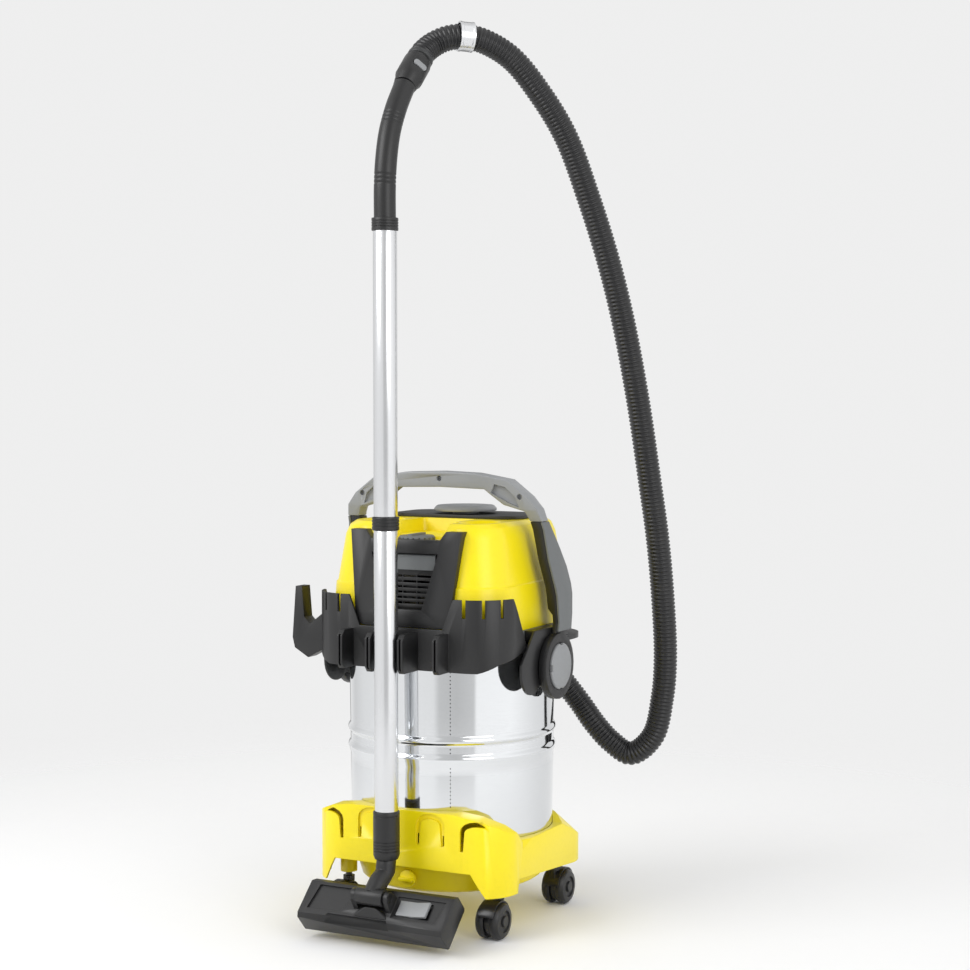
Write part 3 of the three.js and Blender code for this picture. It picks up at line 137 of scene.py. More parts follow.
class Finish:
    """A material under construction."""

    def __init__(self, name):
        self.material = bpy.data.materials.new(name)
        self.material.use_nodes = True
        self.tree = self.material.node_tree
        self.tree.nodes.clear()

    def node(self, kind, settings=None, sockets=None, output=0):
        made = self.tree.nodes.new(kind)
        for key, value in (settings or {}).items():
            if key == "stops":
                for element, (place, colour) in zip(made.color_ramp.elements, value):
                    element.position = place
                    element.color = colour
            else:
                setattr(made, key, value)
        pairs = sockets.items() if isinstance(sockets, dict) else enumerate(sockets or [])
        for key, value in pairs:
            if isinstance(value, Wire):
                self.tree.links.new(value.output, made.inputs[key])
            else:
                made.inputs[key].default_value = value
        return Wire(self, made.outputs[output]) if len(made.outputs) else None

    def place(self):
        return self.node("ShaderNodeTexCoord", output="Object")

    def noise(self, scale, detail=2.0, vector=None):
        where = vector or self.place()
        return self.node("ShaderNodeTexNoise", None, {"Vector": where, "Scale": scale, "Detail": detail})

    def between(self, mask, low, high):
        """A colour that runs from low to high with the mask."""
        return self.node("ShaderNodeMix", {"data_type": "RGBA"}, {0: mask, 6: low, 7: high}, output=2)

    def steps(self, value, low, high):
        """0 below low, 1 above high, smooth between."""
        return self.node("ShaderNodeMapRange", {"interpolation_type": "SMOOTHSTEP"},
                         {"Value": value, "From Min": low, "From Max": high})

    def soft_edges(self, radius):
        return self.node("ShaderNodeBevel", {"samples": 3}, {"Radius": radius})

    def edge_mask(self, rounded):
        """Bright where a rounded normal turns away from the flat one, so at edges."""
        flat = self.node("ShaderNodeNewGeometry", output="Normal")
        close = self.node("ShaderNodeVectorMath", {"operation": "DOT_PRODUCT"}, [rounded, flat],
                          output="Value")
        return self.steps(1 - close, 0.02, 0.2)

    def done(self, **sockets):
        shader = self.node("ShaderNodeBsdfPrincipled", None,
                           {key.replace("_", " "): value for key, value in sockets.items()})
        self.node("ShaderNodeOutputMaterial", None, [shader])
        return self.material


def srgb(red, green, blue):
    """A colour as a paint chart gives it, in the linear numbers that shaders use."""
    def linear(value):
        value = value / 255
        return value / 12.92 if value <= 0.04045 else ((value + 0.055) / 1.055) ** 2.4
    return (linear(red), linear(green), linear(blue), 1.0)


print("finishes are ready to be mixed")

# %% [markdown]
# Moulded plastic is one colour with small departures from it: a fine spark-eroded grain that only the
# highlights show, slow clouds in the gloss, a little dust in the colour, and a painted highlight: edges
# painted paler and a little glossier in patches. The same recipe with other numbers makes the yellow shell and
# all the greys.

# %% Moulded plastics
def moulded(name, colour, gloss, grain, depth, edge_highlight_colour, edge=0.0011):
    finish = Finish(name)
    place = finish.place()
    clouds = finish.noise(7, 3, place)
    specks = finish.noise(160, 2, place)
    pits = finish.noise(grain, 1, place)
    rounded = finish.soft_edges(edge)
    # Painted highlight: the edges, in patches, are mixed towards a paler colour and made a little glossier.
    painted_edge_highlight = finish.edge_mask(rounded) * finish.steps(finish.noise(38, 3, place), 0.35, 0.75)
    tint = finish.steps(clouds, 0.3, 0.7) * 0.5 + finish.steps(specks, 0.45, 0.75) * 0.25
    deeper = tuple(0.9 * value for value in colour[:3]) + (1.0,)
    body = finish.between(tint, colour, deeper)
    # The painted edge highlight is mixed into the colour here.
    skin = finish.between(painted_edge_highlight * 0.6, body, edge_highlight_colour)
    bumped = finish.node("ShaderNodeBump", None,
                         {"Height": pits, "Distance": depth, "Strength": 0.6, "Normal": rounded})
    return finish.done(Base_Color=skin, Normal=bumped,
                       Roughness=gloss + clouds * 0.1 + painted_edge_highlight * -0.08)


# The last colour given to each moulding is the paler colour of its painted edge highlight; this one is for the
# blacks.
BLACK_EDGE_HIGHLIGHT = (0.04, 0.04, 0.04, 1)
finishes = {
    "yellow": moulded("yellow moulding", srgb(245, 224, 0), 0.26, 700, 0.00006, srgb(248, 232, 60)),
    "black": moulded("black moulding", srgb(25, 25, 26), 0.34, 1100, 0.0001, BLACK_EDGE_HIGHLIGHT),
    "dark": moulded("dark grey moulding", srgb(48, 49, 50), 0.38, 1100, 0.0001, srgb(80, 81, 82)),
    "grey": moulded("mid grey moulding", srgb(104, 107, 108), 0.38, 900, 0.0001, srgb(135, 137, 138)),
    "light": moulded("light grey moulding", srgb(142, 144, 146), 0.38, 900, 0.0001, srgb(172, 173, 175)),
}
finishes["gloss_black"] = moulded("glossy black hood", srgb(30, 30, 31), 0.22, 500, 0.00003, BLACK_EDGE_HIGHLIGHT)
print("plastics:", ", ".join(finishes))

# %% [markdown]
# The drum is stainless sheet, rolled and polished until it mirrors the room. What tells it from a
# mirror is the faint graining round the drum, the long soft waves in the sheet and the smears where
# hands have been. The tubes are chromed and drawn, so their fine lines run along them.

# %% Metals
def polished(name, colour, gloss, lines, stretch, smear):
    finish = Finish(name)
    place = finish.place()
    along = finish.node("ShaderNodeMapping", None, {"Vector": place, "Scale": stretch})
    drawn = finish.noise(lines, 2, along)
    waves = finish.noise(6, 1, place)
    hands = finish.steps(finish.noise(11, 4, place), 0.5, 0.8)
    sheen = gloss + drawn * 0.05 + hands * smear
    height = drawn * 0.00001 + waves * 0.0006
    bumped = finish.node("ShaderNodeBump", None, {"Height": height, "Distance": 1.0, "Strength": 0.35})
    shade = finish.between(drawn * 0.35, colour, tuple(0.86 * v for v in colour[:3]) + (1.0,))
    return finish.done(Base_Color=shade, Metallic=1.0, Roughness=sheen, Normal=bumped)


finishes["steel"] = polished("polished sheet", srgb(226, 228, 230), 0.05, 60, (1, 1, 14), 0.06)
finishes["chrome"] = polished("drawn tube", srgb(222, 223, 225), 0.2, 90, (6, 6, 0.4), 0.08)
finishes["copper"] = polished("motor core", srgb(176, 112, 70), 0.35, 300, (1, 1, 6), 0.1)
print("metals: steel, chrome, copper")

# %% [markdown]
# Rubber scatters light and gathers dust in its hollows. The filter is paper, off-white, with fibres.

# %% Rubber and paper
def soft_black(name, colour, gloss, dust):
    finish = Finish(name)
    place = finish.place()
    grain = finish.noise(900, 2, place)
    settled = finish.steps(finish.noise(24, 4, place), 0.5, 0.85)
    shade = finish.between(settled * dust, colour, srgb(96, 95, 92))
    bumped = finish.node("ShaderNodeBump", None, {"Height": grain, "Distance": 0.0001, "Strength": 0.5})
    return finish.done(Base_Color=shade, Roughness=gloss + settled * 0.15, Normal=bumped)


def fibrous(name, colour):
    finish = Finish(name)
    place = finish.place()
    fibres = finish.noise(1500, 4, place)
    blots = finish.noise(40, 2, place)
    shade = finish.between(blots * 0.6 + fibres * 0.3, colour, tuple(0.7 * v for v in colour[:3]) + (1.0,))
    bumped = finish.node("ShaderNodeBump", None, {"Height": fibres, "Distance": 0.0002, "Strength": 0.7})
    return finish.done(Base_Color=shade, Roughness=0.92, Normal=bumped)


finishes["rubber"] = soft_black("tyre rubber", srgb(26, 26, 27), 0.5, 0.25)
finishes["hose"] = soft_black("hose plastic", srgb(22, 22, 24), 0.3, 0.1)
finishes["paper"] = fibrous("filter paper", srgb(218, 211, 186))
print("soft finishes: rubber, hose, paper")

# %% [markdown]
# The set is a pale floor that fades into an even background, one broad light from the upper left and
# a weaker one from the right. Polished steel shows whatever surrounds it, so the surroundings are
# made as a studio would make them: white, with a few dark upright cards. The cards are bands of the
# sky's colour by compass direction, and plain rays from the camera see only the even background.

# %% The set
BACKGROUND = 0.86


def make_world():
    world = bpy.data.worlds.new("studio")
    world.use_nodes = True
    tree = world.node_tree
    tree.nodes.clear()

    def node(kind, **settings):
        made = tree.nodes.new(kind)
        for key, value in settings.items():
            setattr(made, key, value)
        return made

    direction = node("ShaderNodeTexCoord")
    parts = node("ShaderNodeSeparateXYZ")
    compass = node("ShaderNodeMath", operation="ARCTAN2")
    turn = node("ShaderNodeMapRange")
    turn.inputs["From Min"].default_value = -math.pi
    turn.inputs["From Max"].default_value = math.pi
    cards = node("ShaderNodeValToRGB")
    bands = [(0.0, 0.95), (0.12, 1.05), (0.27, 1.0), (0.288, 0.72), (0.34, 0.66), (0.395, 0.76),
             (0.403, 1.2), (0.52, 1.25), (0.62, 1.0), (0.72, 0.85), (0.79, 0.95), (0.81, 0.3),
             (0.86, 0.3), (0.88, 0.95), (0.94, 0.8), (1.0, 0.95)]
    ramp = cards.color_ramp
    while len(ramp.elements) < len(bands):
        ramp.elements.new(0.5)
    for element, (place, value) in zip(ramp.elements, bands):
        element.position = place
    for element, (place, value) in zip(ramp.elements, bands):
        element.color = (value, value, value, 1)
    rays = node("ShaderNodeLightPath")
    seen = node("ShaderNodeBackground")
    seen.inputs["Color"].default_value = (BACKGROUND, BACKGROUND, BACKGROUND, 1)
    around = node("ShaderNodeBackground")
    around.inputs["Strength"].default_value = 0.95
    choose = node("ShaderNodeMixShader")
    out = node("ShaderNodeOutputWorld")
    link = tree.links.new
    link(direction.outputs["Generated"], parts.inputs[0])
    link(parts.outputs["Y"], compass.inputs[0])
    link(parts.outputs["X"], compass.inputs[1])
    link(compass.outputs[0], turn.inputs["Value"])
    link(turn.outputs[0], cards.inputs[0])
    link(cards.outputs[0], around.inputs["Color"])
    link(rays.outputs["Is Camera Ray"], choose.inputs[0])
    link(around.outputs[0], choose.inputs[1])
    link(seen.outputs[0], choose.inputs[2])
    link(choose.outputs[0], out.inputs[0])
    bpy.context.scene.world = world


def make_light(name, spot, target, size, power):
    data = bpy.data.lights.new(name, "AREA")
    data.size = size
    data.energy = power
    light = bpy.data.objects.new(name, data)
    bpy.context.scene.collection.objects.link(light)
    light.location = spot
    light.rotation_euler = (Vector(target) - Vector(spot)).to_track_quat("-Z", "Y").to_euler()


def make_floor():
    finish = Finish("pale floor")
    place = finish.place()
    far = finish.node("ShaderNodeVectorMath", {"operation": "LENGTH"}, [place], output="Value")
    grain = finish.noise(30, 2, place)
    shader = finish.node("ShaderNodeBsdfPrincipled", None, {
        "Base Color": finish.between(grain * 0.2, srgb(243, 243, 243), srgb(238, 238, 238)),
        "Roughness": 0.75})
    clear = finish.node("ShaderNodeBsdfTransparent")
    faded = finish.node("ShaderNodeMixShader", None, [finish.steps(far, 0.5, 1.9), shader, clear])
    finish.node("ShaderNodeOutputMaterial", None, [faded])
    mesh = bpy.data.meshes.new("floor")
    mesh.from_pydata([(-3, -3, 0), (3, -3, 0), (3, 3, 0), (-3, 3, 0)], [], [(0, 1, 2, 3)])
    mesh.materials.append(finish.material)
    floor = bpy.data.objects.new("floor", mesh)
    bpy.context.scene.collection.objects.link(floor)
    floor.location.z = -0.0005


make_world()
make_light("key", (-1.8, -2.6, 2.6), (0, 0, 0.5), 2.2, 62)
make_light("fill", (2.6, -1.6, 1.6), (0, 0, 0.4), 1.8, 22)
make_floor()
bpy.context.scene.view_settings.view_transform = "Standard"
print("the set has a floor, two lights and a ring of cards")

# %% [markdown]
# A few tools make all the shapes. A turned piece is a profile spun round an axis. A swept piece is a
# ring carried along a path, with its radius free to change, which is how a corrugated hose is made.
# A worked piece starts from the CAD solid: its edges are broken and cutters are taken out of it.

# %% Tools: from points to a piece
def add_piece(name, points, faces, body, finish, smooth=True):
    mesh = bpy.data.meshes.new(name)
    mesh.from_pydata([tuple(p) for p in points], [], faces)
    mesh.materials.append(finishes[finish])
    for face in mesh.polygons:
        face.use_smooth = smooth
    piece = bpy.data.objects.new(name, mesh)
    bpy.context.scene.collection.objects.link(piece)
    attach(piece, body)
    return piece


def turning(start, direction):
    """A matrix that stands +Z along a direction, from a start point."""
    return Matrix.Translation(start) @ Vector(direction).to_track_quat("Z", "Y").to_matrix().to_4x4()


def ring_faces(rings, sides, closed_ends=True):
    faces = []
    for ring in range(rings - 1):
        for side in range(sides):
            a = ring * sides + side
            b = ring * sides + (side + 1) % sides
            faces.append((a, b, b + sides, a + sides))
    if closed_ends:
        faces.append(tuple(reversed(range(sides))))
        faces.append(tuple(range((rings - 1) * sides, rings * sides)))
    return faces


def turned_piece(name, profile, start, direction, body, finish, sides=64, loop=False):
    """Spins a profile of (radius, height) pairs. A loop profile closes on itself, as a tube's does."""
    matrix = turning(start, direction)
    points = []
    for radius, height in profile:
        for side in range(sides):
            angle = 2 * math.pi * side / sides
            points.append(matrix @ Vector((radius * math.cos(angle), radius * math.sin(angle), height)))
    faces = ring_faces(len(profile), sides, not loop)
    if loop:
        last = (len(profile) - 1) * sides
        for side in range(sides):
            other = (side + 1) % sides
            faces.append((last + side, last + other, other, side))
    return crisp(add_piece(name, points, faces, body, finish))


def crisp(piece, angle=35):
    """Smooth shading that keeps edges sharper than an angle."""
    for face in piece.data.polygons:
        face.use_smooth = True
    piece.data.set_sharp_from_angle(angle=math.radians(angle))
    return piece


def frames_along(path):
    """A pair of cross directions for each point of a path, carried along without twisting."""
    pairs = []
    normal = None
    for i, point in enumerate(path):
        way = (path[min(i + 1, len(path) - 1)] - path[max(i - 1, 0)]).normalized()
        if normal is None:
            normal = way.orthogonal().normalized()
        normal = (normal - way * normal.dot(way)).normalized()
        pairs.append((normal, way.cross(normal)))
    return pairs


def swept_piece(name, path, radii, body, finish, sides=24):
    points = []
    for point, radius, (u, v) in zip(path, radii, frames_along(path)):
        for side in range(sides):
            angle = 2 * math.pi * side / sides
            points.append(point + radius * (math.cos(angle) * u + math.sin(angle) * v))
    return add_piece(name, points, ring_faces(len(path), sides), body, finish)


# %% [markdown]
# A moulding with many slots is easier to keep exact when it starts from its CAD solid. The copy's flat
# faces are merged first, so that the bevel rounds only real edges. The cutters come after the bevel, and
# so their own edges stay crisp. The modifiers are then applied, because what is seen has to be the mesh.

# %% Tools: from a CAD solid to a finished piece
def prism(outline, low, high, axis):
    """An outline of pairs, carried along an axis from low to high."""
    def corner(pair, depth):
        values = list(pair)
        values.insert("XYZ".index(axis), depth)
        return tuple(values)
    count = len(outline)
    points = [corner(p, low) for p in outline] + [corner(p, high) for p in outline]
    faces = [tuple(range(count)), tuple(range(2 * count - 1, count - 1, -1))]
    faces += [(i, i + count, (i + 1) % count + count, (i + 1) % count) for i in range(count)]
    return points, faces


def mesh_object(name, points, faces):
    mesh = bpy.data.meshes.new(name)
    mesh.from_pydata([tuple(p) for p in points], [], faces)
    work = bmesh.new()
    work.from_mesh(mesh)
    bmesh.ops.recalc_face_normals(work, faces=work.faces)
    work.to_mesh(mesh)
    work.free()
    made = bpy.data.objects.new(name, mesh)
    bpy.context.scene.collection.objects.link(made)
    return made


def settle_shape(piece):
    """Applies a piece's modifiers, so that its mesh is what is seen."""
    graph = bpy.context.evaluated_depsgraph_get()
    mesh = bpy.data.meshes.new_from_object(piece.evaluated_get(graph))
    piece.modifiers.clear()
    old = piece.data
    piece.data = mesh
    bpy.data.meshes.remove(old)


def joined_shapes(name, shapes):
    points, faces = [], []
    for some_points, some_faces in shapes:
        faces += [tuple(i + len(points) for i in face) for face in some_faces]
        points += [tuple(p) for p in some_points]
    return mesh_object(name, points, faces)


def worked(node, finish=None, cutters=(), edge=0.0012, angle=38, slot=None):
    """A copy of a CAD solid with cutters taken out and its edges broken, shown in its place."""
    piece = nodes[node].copy()
    piece.data = nodes[node].data.copy()
    piece.name = node + "_finished"
    for key in list(piece.keys()):
        del piece[key]
    bpy.context.scene.collection.objects.link(piece)
    slot = slot or next(s["material_slot"] for s in frame["record"]["subparts"] if s["node"] == node)
    weld = piece.modifiers.new("weld", "WELD")
    weld.merge_threshold = 0.00002
    flat = piece.modifiers.new("flat", "DECIMATE")
    flat.decimate_type = "DISSOLVE"
    flat.angle_limit = math.radians(0.6)
    if edge:
        bevel = piece.modifiers.new("edge", "BEVEL")
        bevel.width = edge
        bevel.segments = 2
        bevel.limit_method = "ANGLE"
        bevel.angle_limit = math.radians(angle)
        bevel.miter_outer = "MITER_ARC"
    tools = joined_shapes("cutters", cutters) if cutters else None
    if tools:
        cut = piece.modifiers.new("cut", "BOOLEAN")
        cut.object = tools
        cut.operation = "DIFFERENCE"
        cut.solver = "EXACT"
        cut.use_self = True
    settle_shape(piece)
    if tools:
        bpy.data.objects.remove(tools)
    piece.data.materials.clear()
    piece.data.materials.append(finishes[finish or slot])
    crisp(piece, 32)
    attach(piece, nodes[node]["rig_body"])
    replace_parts(piece, node)
    return piece


print("tools: turned, swept and worked pieces")

# %% [markdown]
# The hose is the machine's longest piece: spiral-ribbed plastic, 38 mm outside. Its path is the one
# that the CAD model's plain tube follows, a smooth curve through chosen points. The ribs are rings
# that swell and shrink every 6 mm along that path, far lighter than modelling a helix.

# %% The hose's path
HOSE_R = 0.019
CUFF_START = Vector((0.002, -0.150, 1.253))
CUFF_WAY = Vector((2, 46, 49)).normalized()
CUFF_LENGTH = 0.058
SWIVEL_LENGTH = 0.008
LOWER_CUFF_LENGTH = 0.022
GAP = 0.0004
INLET_ANGLE = math.radians(70)
INLET_OUT = Vector((math.cos(INLET_ANGLE), math.sin(INLET_ANGLE), 0))
INLET_MOUTH = INLET_OUT * 0.203 + Vector((0, 0, 0.372))
INLET_WAY = (INLET_OUT * 0.766 - Vector((0, 0, 0.643))).normalized()
HOSE_ROUTE = [(0.013, -0.081, 1.323), (0.030, -0.067, 1.333), (0.050, -0.050, 1.336),
              (0.072, -0.028, 1.330), (0.100, 0.005, 1.308), (0.131, 0.042, 1.257),
              (0.157, 0.078, 1.195), (0.180, 0.112, 1.104), (0.200, 0.140, 1.012),
              (0.216, 0.162, 0.920), (0.232, 0.186, 0.794), (0.245, 0.204, 0.668),
              (0.254, 0.217, 0.573), (0.259, 0.228, 0.477), (0.260, 0.237, 0.381),
              (0.254, 0.240, 0.317), (0.238, 0.238, 0.253), (0.203, 0.232, 0.224),
              (0.170, 0.229, 0.241), (0.141, 0.229, 0.268), (0.113, 0.231, 0.301)]


def through(points, steps=40):
    """A centripetal curve through points: even where they are close together, with no loops."""
    ends = [2 * points[0] - points[1], *points, 2 * points[-1] - points[-2]]
    curve = []
    for before, a, b, after in zip(ends, ends[1:], ends[2:], ends[3:]):
        gaps = [max((q - p).length ** 0.5, 1e-4) for p, q in ((before, a), (a, b), (b, after))]
        leave = (a - before) / gaps[0] - (b - before) / (gaps[0] + gaps[1]) + (b - a) / gaps[1]
        arrive = (b - a) / gaps[1] - (after - a) / (gaps[1] + gaps[2]) + (after - b) / gaps[2]
        leave, arrive = leave * gaps[1], arrive * gaps[1]
        for step in range(steps):
            t = step / steps
            curve.append(a + leave * t + (3 * (b - a) - 2 * leave - arrive) * t ** 2
                         + (2 * (a - b) + leave + arrive) * t ** 3)
    curve.append(points[-1].copy())
    return curve


def evenly(curve, gap):
    """The same curve with its points an equal distance apart, and its length."""
    lengths = [0.0]
    for a, b in zip(curve, curve[1:]):
        lengths.append(lengths[-1] + (b - a).length)
    count = max(2, round(lengths[-1] / gap))
    points, at = [], 0
    for i in range(count + 1):
        target = lengths[-1] * i / count
        while at < len(curve) - 2 and lengths[at + 1] < target:
            at += 1
        share = (target - lengths[at]) / max(lengths[at + 1] - lengths[at], 1e-9)
        points.append(curve[at].lerp(curve[at + 1], share))
    return points, lengths[-1]


def hose_path():
    start = CUFF_START + CUFF_WAY * (CUFF_LENGTH + SWIVEL_LENGTH + 2 * GAP)
    end = INLET_MOUTH + INLET_WAY * (LOWER_CUFF_LENGTH + GAP)
    chosen = [start, start + CUFF_WAY * 0.008, *[Vector(p) for p in HOSE_ROUTE],
              end + INLET_WAY * 0.008, end]
    return [point + DRUM for point in chosen]


RIB = 0.0062
RIB_STEPS = 6
hose_line, hose_length = evenly(through(hose_path()), RIB / RIB_STEPS)
print("hose path:", len(hose_line), "points,", round(hose_length, 3), "m")


# %% [markdown]
# The hose carries a bright band near the top of its arch and ends in a ribbed cuff at the inlet elbow.

# %% The corrugated hose and the pieces on it
def rib_radius(i):
    """Broad rounded crests with narrow grooves between them."""
    crest = 0.5 - 0.5 * math.cos(2 * math.pi * i / RIB_STEPS)
    return HOSE_R - 0.0024 * (1 - crest ** 0.45)


def make_hose():
    radii = [rib_radius(i) for i in range(len(hose_line))]
    return swept_piece("hose_ribbed", hose_line, radii, "base_drum_wand", "hose", sides=28)


def make_hose_band():
    before, at, after = (Vector(point) for point in HOSE_ROUTE[1:4])
    profile = [(0.0200, -0.011), (0.0212, -0.0115), (0.0224, -0.0108), (0.0224, -0.0075),
               (0.0218, -0.0068), (0.0218, 0.0068), (0.0224, 0.0075), (0.0224, 0.0108),
               (0.0212, 0.0115), (0.0200, 0.011)]
    band = turned_piece("hose_band_rolled", profile, at + DRUM, after - before, "base_drum_wand", "chrome",
                        loop=True)
    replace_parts(band, "hose_band")
    return band


def make_hose_cuff():
    rows = [(0.012, 0), (0.0195, 0), (0.021, 0.0015)]
    for i in range(5):
        z = 0.003 + i * 0.003
        rows += [(0.021, z), (0.0199, z + 0.0006), (0.0199, z + 0.0014), (0.021, z + 0.002)]
    rows += [(0.021, 0.020), (0.0195, 0.022), (0.012, 0.022)]
    cuff = turned_piece("hose_cuff_ribbed", rows, INLET_MOUTH + DRUM, INLET_WAY, "base_drum_wand", "dark")
    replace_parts(cuff, "hose_cuff")
    return cuff


hose = make_hose()
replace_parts(hose, "hose")
make_hose_band()
make_hose_cuff()
print("hose:", len(hose.data.vertices), "points in", round(hose_length / RIB), "ribs")

# %% [markdown]
# The drum is one rolled sheet with two beads about its middle, a rounded foot and a seam where the
# sheet's ends are spot-welded. A turned profile with rounded beads gives the highlights their curve.
# The seam is a row of tiny shallow cones, close enough together to read as a dotted line.

# %% The steel drum
DRUM_FOOT, DRUM_LIP = 0.108, 0.430
FOOT_R, DRUM_FLARE = 0.155, 0.004
SHEET = 0.0012
BEADS = (0.265, 0.292)


def drum_radius(z):
    return FOOT_R + (z - DRUM_FOOT) / (DRUM_LIP - DRUM_FOOT) * DRUM_FLARE


def make_drum():
    outer = [(0.149, DRUM_FOOT), (0.152, DRUM_FOOT + 0.0008), (0.1546, DRUM_FOOT + 0.004)]
    z = 0.120
    while z < DRUM_LIP - 0.001:
        rise = 0
        for bead in BEADS:
            away = abs(z - bead) / 0.0068
            rise = max(rise, 0.0034 * math.cos(min(away, 1) * math.pi / 2) ** 1.3)
        outer.append((drum_radius(z) + rise, z))
        z += 0.0012 if 0.255 < z < 0.302 else 0.012
    outer.append((0.159, DRUM_LIP))
    inner = [(r - SHEET, max(z, DRUM_FOOT + SHEET)) for r, z in reversed(outer)]
    profile = [(0.0005, DRUM_FOOT), *outer, *inner, (0.0005, DRUM_FOOT + SHEET)]
    piece = turned_piece("drum_rolled", profile, DRUM, (0, 0, 1), "base_drum_wand", "steel", sides=160)
    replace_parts(piece, "drum")


SEAM_ANGLE = math.radians(-63)
WELDS, WELD_PITCH, FIRST_WELD_Z = 40, 0.0057, 0.195
WELD_SIDES = 8


def make_seam():
    """Spot welds in a vertical row, left out where the beads are."""
    points, faces = [], []
    for i in range(WELDS):
        z = FIRST_WELD_Z + i * WELD_PITCH
        if any(abs(z - bead) < 0.008 for bead in BEADS):
            continue
        out = Vector((math.cos(SEAM_ANGLE), math.sin(SEAM_ANGLE), 0))
        aside = Vector((-out.y, out.x, 0))
        middle = DRUM + out * (drum_radius(z) + 0.00015) + Vector((0, 0, z))
        first = len(points)
        for side in range(WELD_SIDES):
            turn = 2 * math.pi * side / WELD_SIDES
            points.append(middle + aside * 0.0009 * math.cos(turn) + Vector((0, 0, 0.0012 * math.sin(turn))))
        points.append(middle + out * 0.0002)
        tip = first + WELD_SIDES
        faces += [(first + side, first + (side + 1) % WELD_SIDES, tip) for side in range(WELD_SIDES)]
    add_piece("drum_spot_welds", points, faces, "base_drum_wand", "dark")


make_drum()
make_seam()
print("drum:", round(drum_radius(0.25) * 2000), "mm across at its middle")

# %% [markdown]
# Everything moulded shares one rule: no real edge is knife sharp. Each CAD solid is copied, a narrow
# bevel breaks the copy's edges so that they catch the light, and slots and recesses are cut out of it.
# A small set of cutter makers keeps those cuts short to write. All take places from the drum's axis.

# %% Cutters
def at_drum(cutter):
    """Moves points that are measured from the drum's axis to their place in the model."""
    points, faces = cutter
    return [Vector(p) + DRUM for p in points], faces


def round_outline(x, z, radius, sides=24):
    turns = [2 * math.pi * i / sides for i in range(sides)]
    return [(x + radius * math.cos(t), z + radius * math.sin(t)) for t in turns]


def arch_outline(x0, x1, z0, z1, leg, foot, steps=8):
    """An upside-down U with a round top, whose legs narrow towards their feet."""
    middle, rise = (x0 + x1) / 2, 0.016
    turns = [math.pi * (1 - i / steps) for i in range(steps + 1)]

    def curve(inset):
        half = (x1 - x0) / 2 - inset
        return [(middle + half * math.cos(t), z1 - rise + (rise - inset) * math.sin(t)) for t in turns]
    outside = [(x0, z0), *curve(0), (x1, z0)]
    inside = [(x1 - foot, z0), *reversed(curve(leg)), (x0 + foot, z0)]
    return outside + inside


def front_cut(outline, y0, y1):
    return at_drum(prism(outline, y0, y1, "Y"))


def side_cut(outline, x0, x1):
    return at_drum(prism(outline, x0, x1, "X"))


print("cutters: round, arch, front and side")

# %% [markdown]
# The base is a yellow tub with four feet. On the real one, upside-down U recesses in the raised front
# hold small accessories. They are cut a little way into the wall. The inner pair also has a deeper slit
# down each leg.

# %% The base and the drain plug
INNER_ARCH = (0.026, 0.073, 0.140, 0.187)
OUTER_ARCH = (0.099, 0.148, 0.136, 0.181)
ARCH_LEG, ARCH_FOOT = 0.0075, 0.005
BEFORE_WALL = -0.175
INNER_FLOOR, OUTER_FLOOR, SLIT_FLOOR = -0.1598, -0.1500, -0.156
SLIT_HALF, SLIT_LOW, SLIT_HIGH = 0.001, 0.141, 0.156


def make_base():
    cuts = []
    for side in (-1, 1):
        for arch, floor in ((INNER_ARCH, INNER_FLOOR), (OUTER_ARCH, OUTER_FLOOR)):
            outline = [(side * x, z) for x, z in arch_outline(*arch, ARCH_LEG, ARCH_FOOT)]
            cuts.append(front_cut(outline, BEFORE_WALL, floor))
        for x in (0.0285, 0.0705):
            slit = [(side * x - SLIT_HALF, SLIT_LOW), (side * x + SLIT_HALF, SLIT_LOW),
                    (side * x + SLIT_HALF, SLIT_HIGH), (side * x - SLIT_HALF, SLIT_HIGH)]
            cuts.append(front_cut(slit, BEFORE_WALL, SLIT_FLOOR))
    worked("base", cutters=cuts, edge=0.0022, angle=30)
    worked("drain_plug", edge=0.0012)


make_base()
print("base: two pairs of recesses")

# %% [markdown]
# A castor is a glossy hood over two narrow wheels. The wheels are turned pieces: a hub with a raised
# ring, a recess and a slightly crowned tread, which a plain cylinder would never show.

# %% Castors
WHEEL_INNER, WHEEL_OUTER = 0.0051, 0.0206
AXLE_R, AXLE_HALF = 0.003, 0.0185
CENTRE_R = 0.0004


def wheel_profile(inner, outer):
    """Radius and distance from the castor's middle, from the hub's outer face round the tread and in."""
    return [(CENTRE_R, outer), (0.008, outer), (0.0085, outer - 0.0008), (0.0086, outer - 0.003),
            (0.0155, outer - 0.0035), (0.0163, outer - 0.001), (0.0235, outer - 0.0022),
            (0.0258, outer - 0.0045), (0.0269, outer - 0.0075), (0.027, (inner + outer) / 2),
            (0.0268, inner + 0.003), (0.0255, inner), (CENTRE_R, inner)]


def make_castor(end):
    low, high = (Vector(corner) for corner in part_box("castor_wheels_" + end))
    middle = (low + high) / 2
    body = "wheels_" + end
    rims = [turned_piece(f"castor_wheel_{end}_{name}", wheel_profile(WHEEL_INNER, WHEEL_OUTER), middle,
                         (side, 0, 0), body, "black", sides=56)
            for side, name in ((-1, "left"), (1, "right"))]
    axle = [(CENTRE_R, -AXLE_HALF), (AXLE_R, -AXLE_HALF), (AXLE_R, AXLE_HALF), (CENTRE_R, AXLE_HALF)]
    turned_piece("castor_axle_" + end, axle, middle, (1, 0, 0), body, "chrome", sides=24)
    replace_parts(rims[0], "castor_wheels_" + end)
    worked("castor_fork_" + end, "gloss_black", edge=0.0012, slot="black")


for end in ("front_left", "front_right", "rear_left", "rear_right"):
    make_castor(end)
print("castors: 4 forks, 8 wheels")

# %% [markdown]
# The accessory ring is black moulding with a fine grain. The clip posts on its front are hollow
# sprung fingers, each with a slit down it.

# %% The accessory ring
POSTS = ((-0.084, 0.197), (-0.028, 0.211), (0.026, 0.211), (0.076, 0.197))
POST_SLIT_HALF, POST_SLIT_LOW, POST_SLIT_HIGH, POST_SLIT_DEPTH = 0.0015, 0.402, 0.449, 0.012


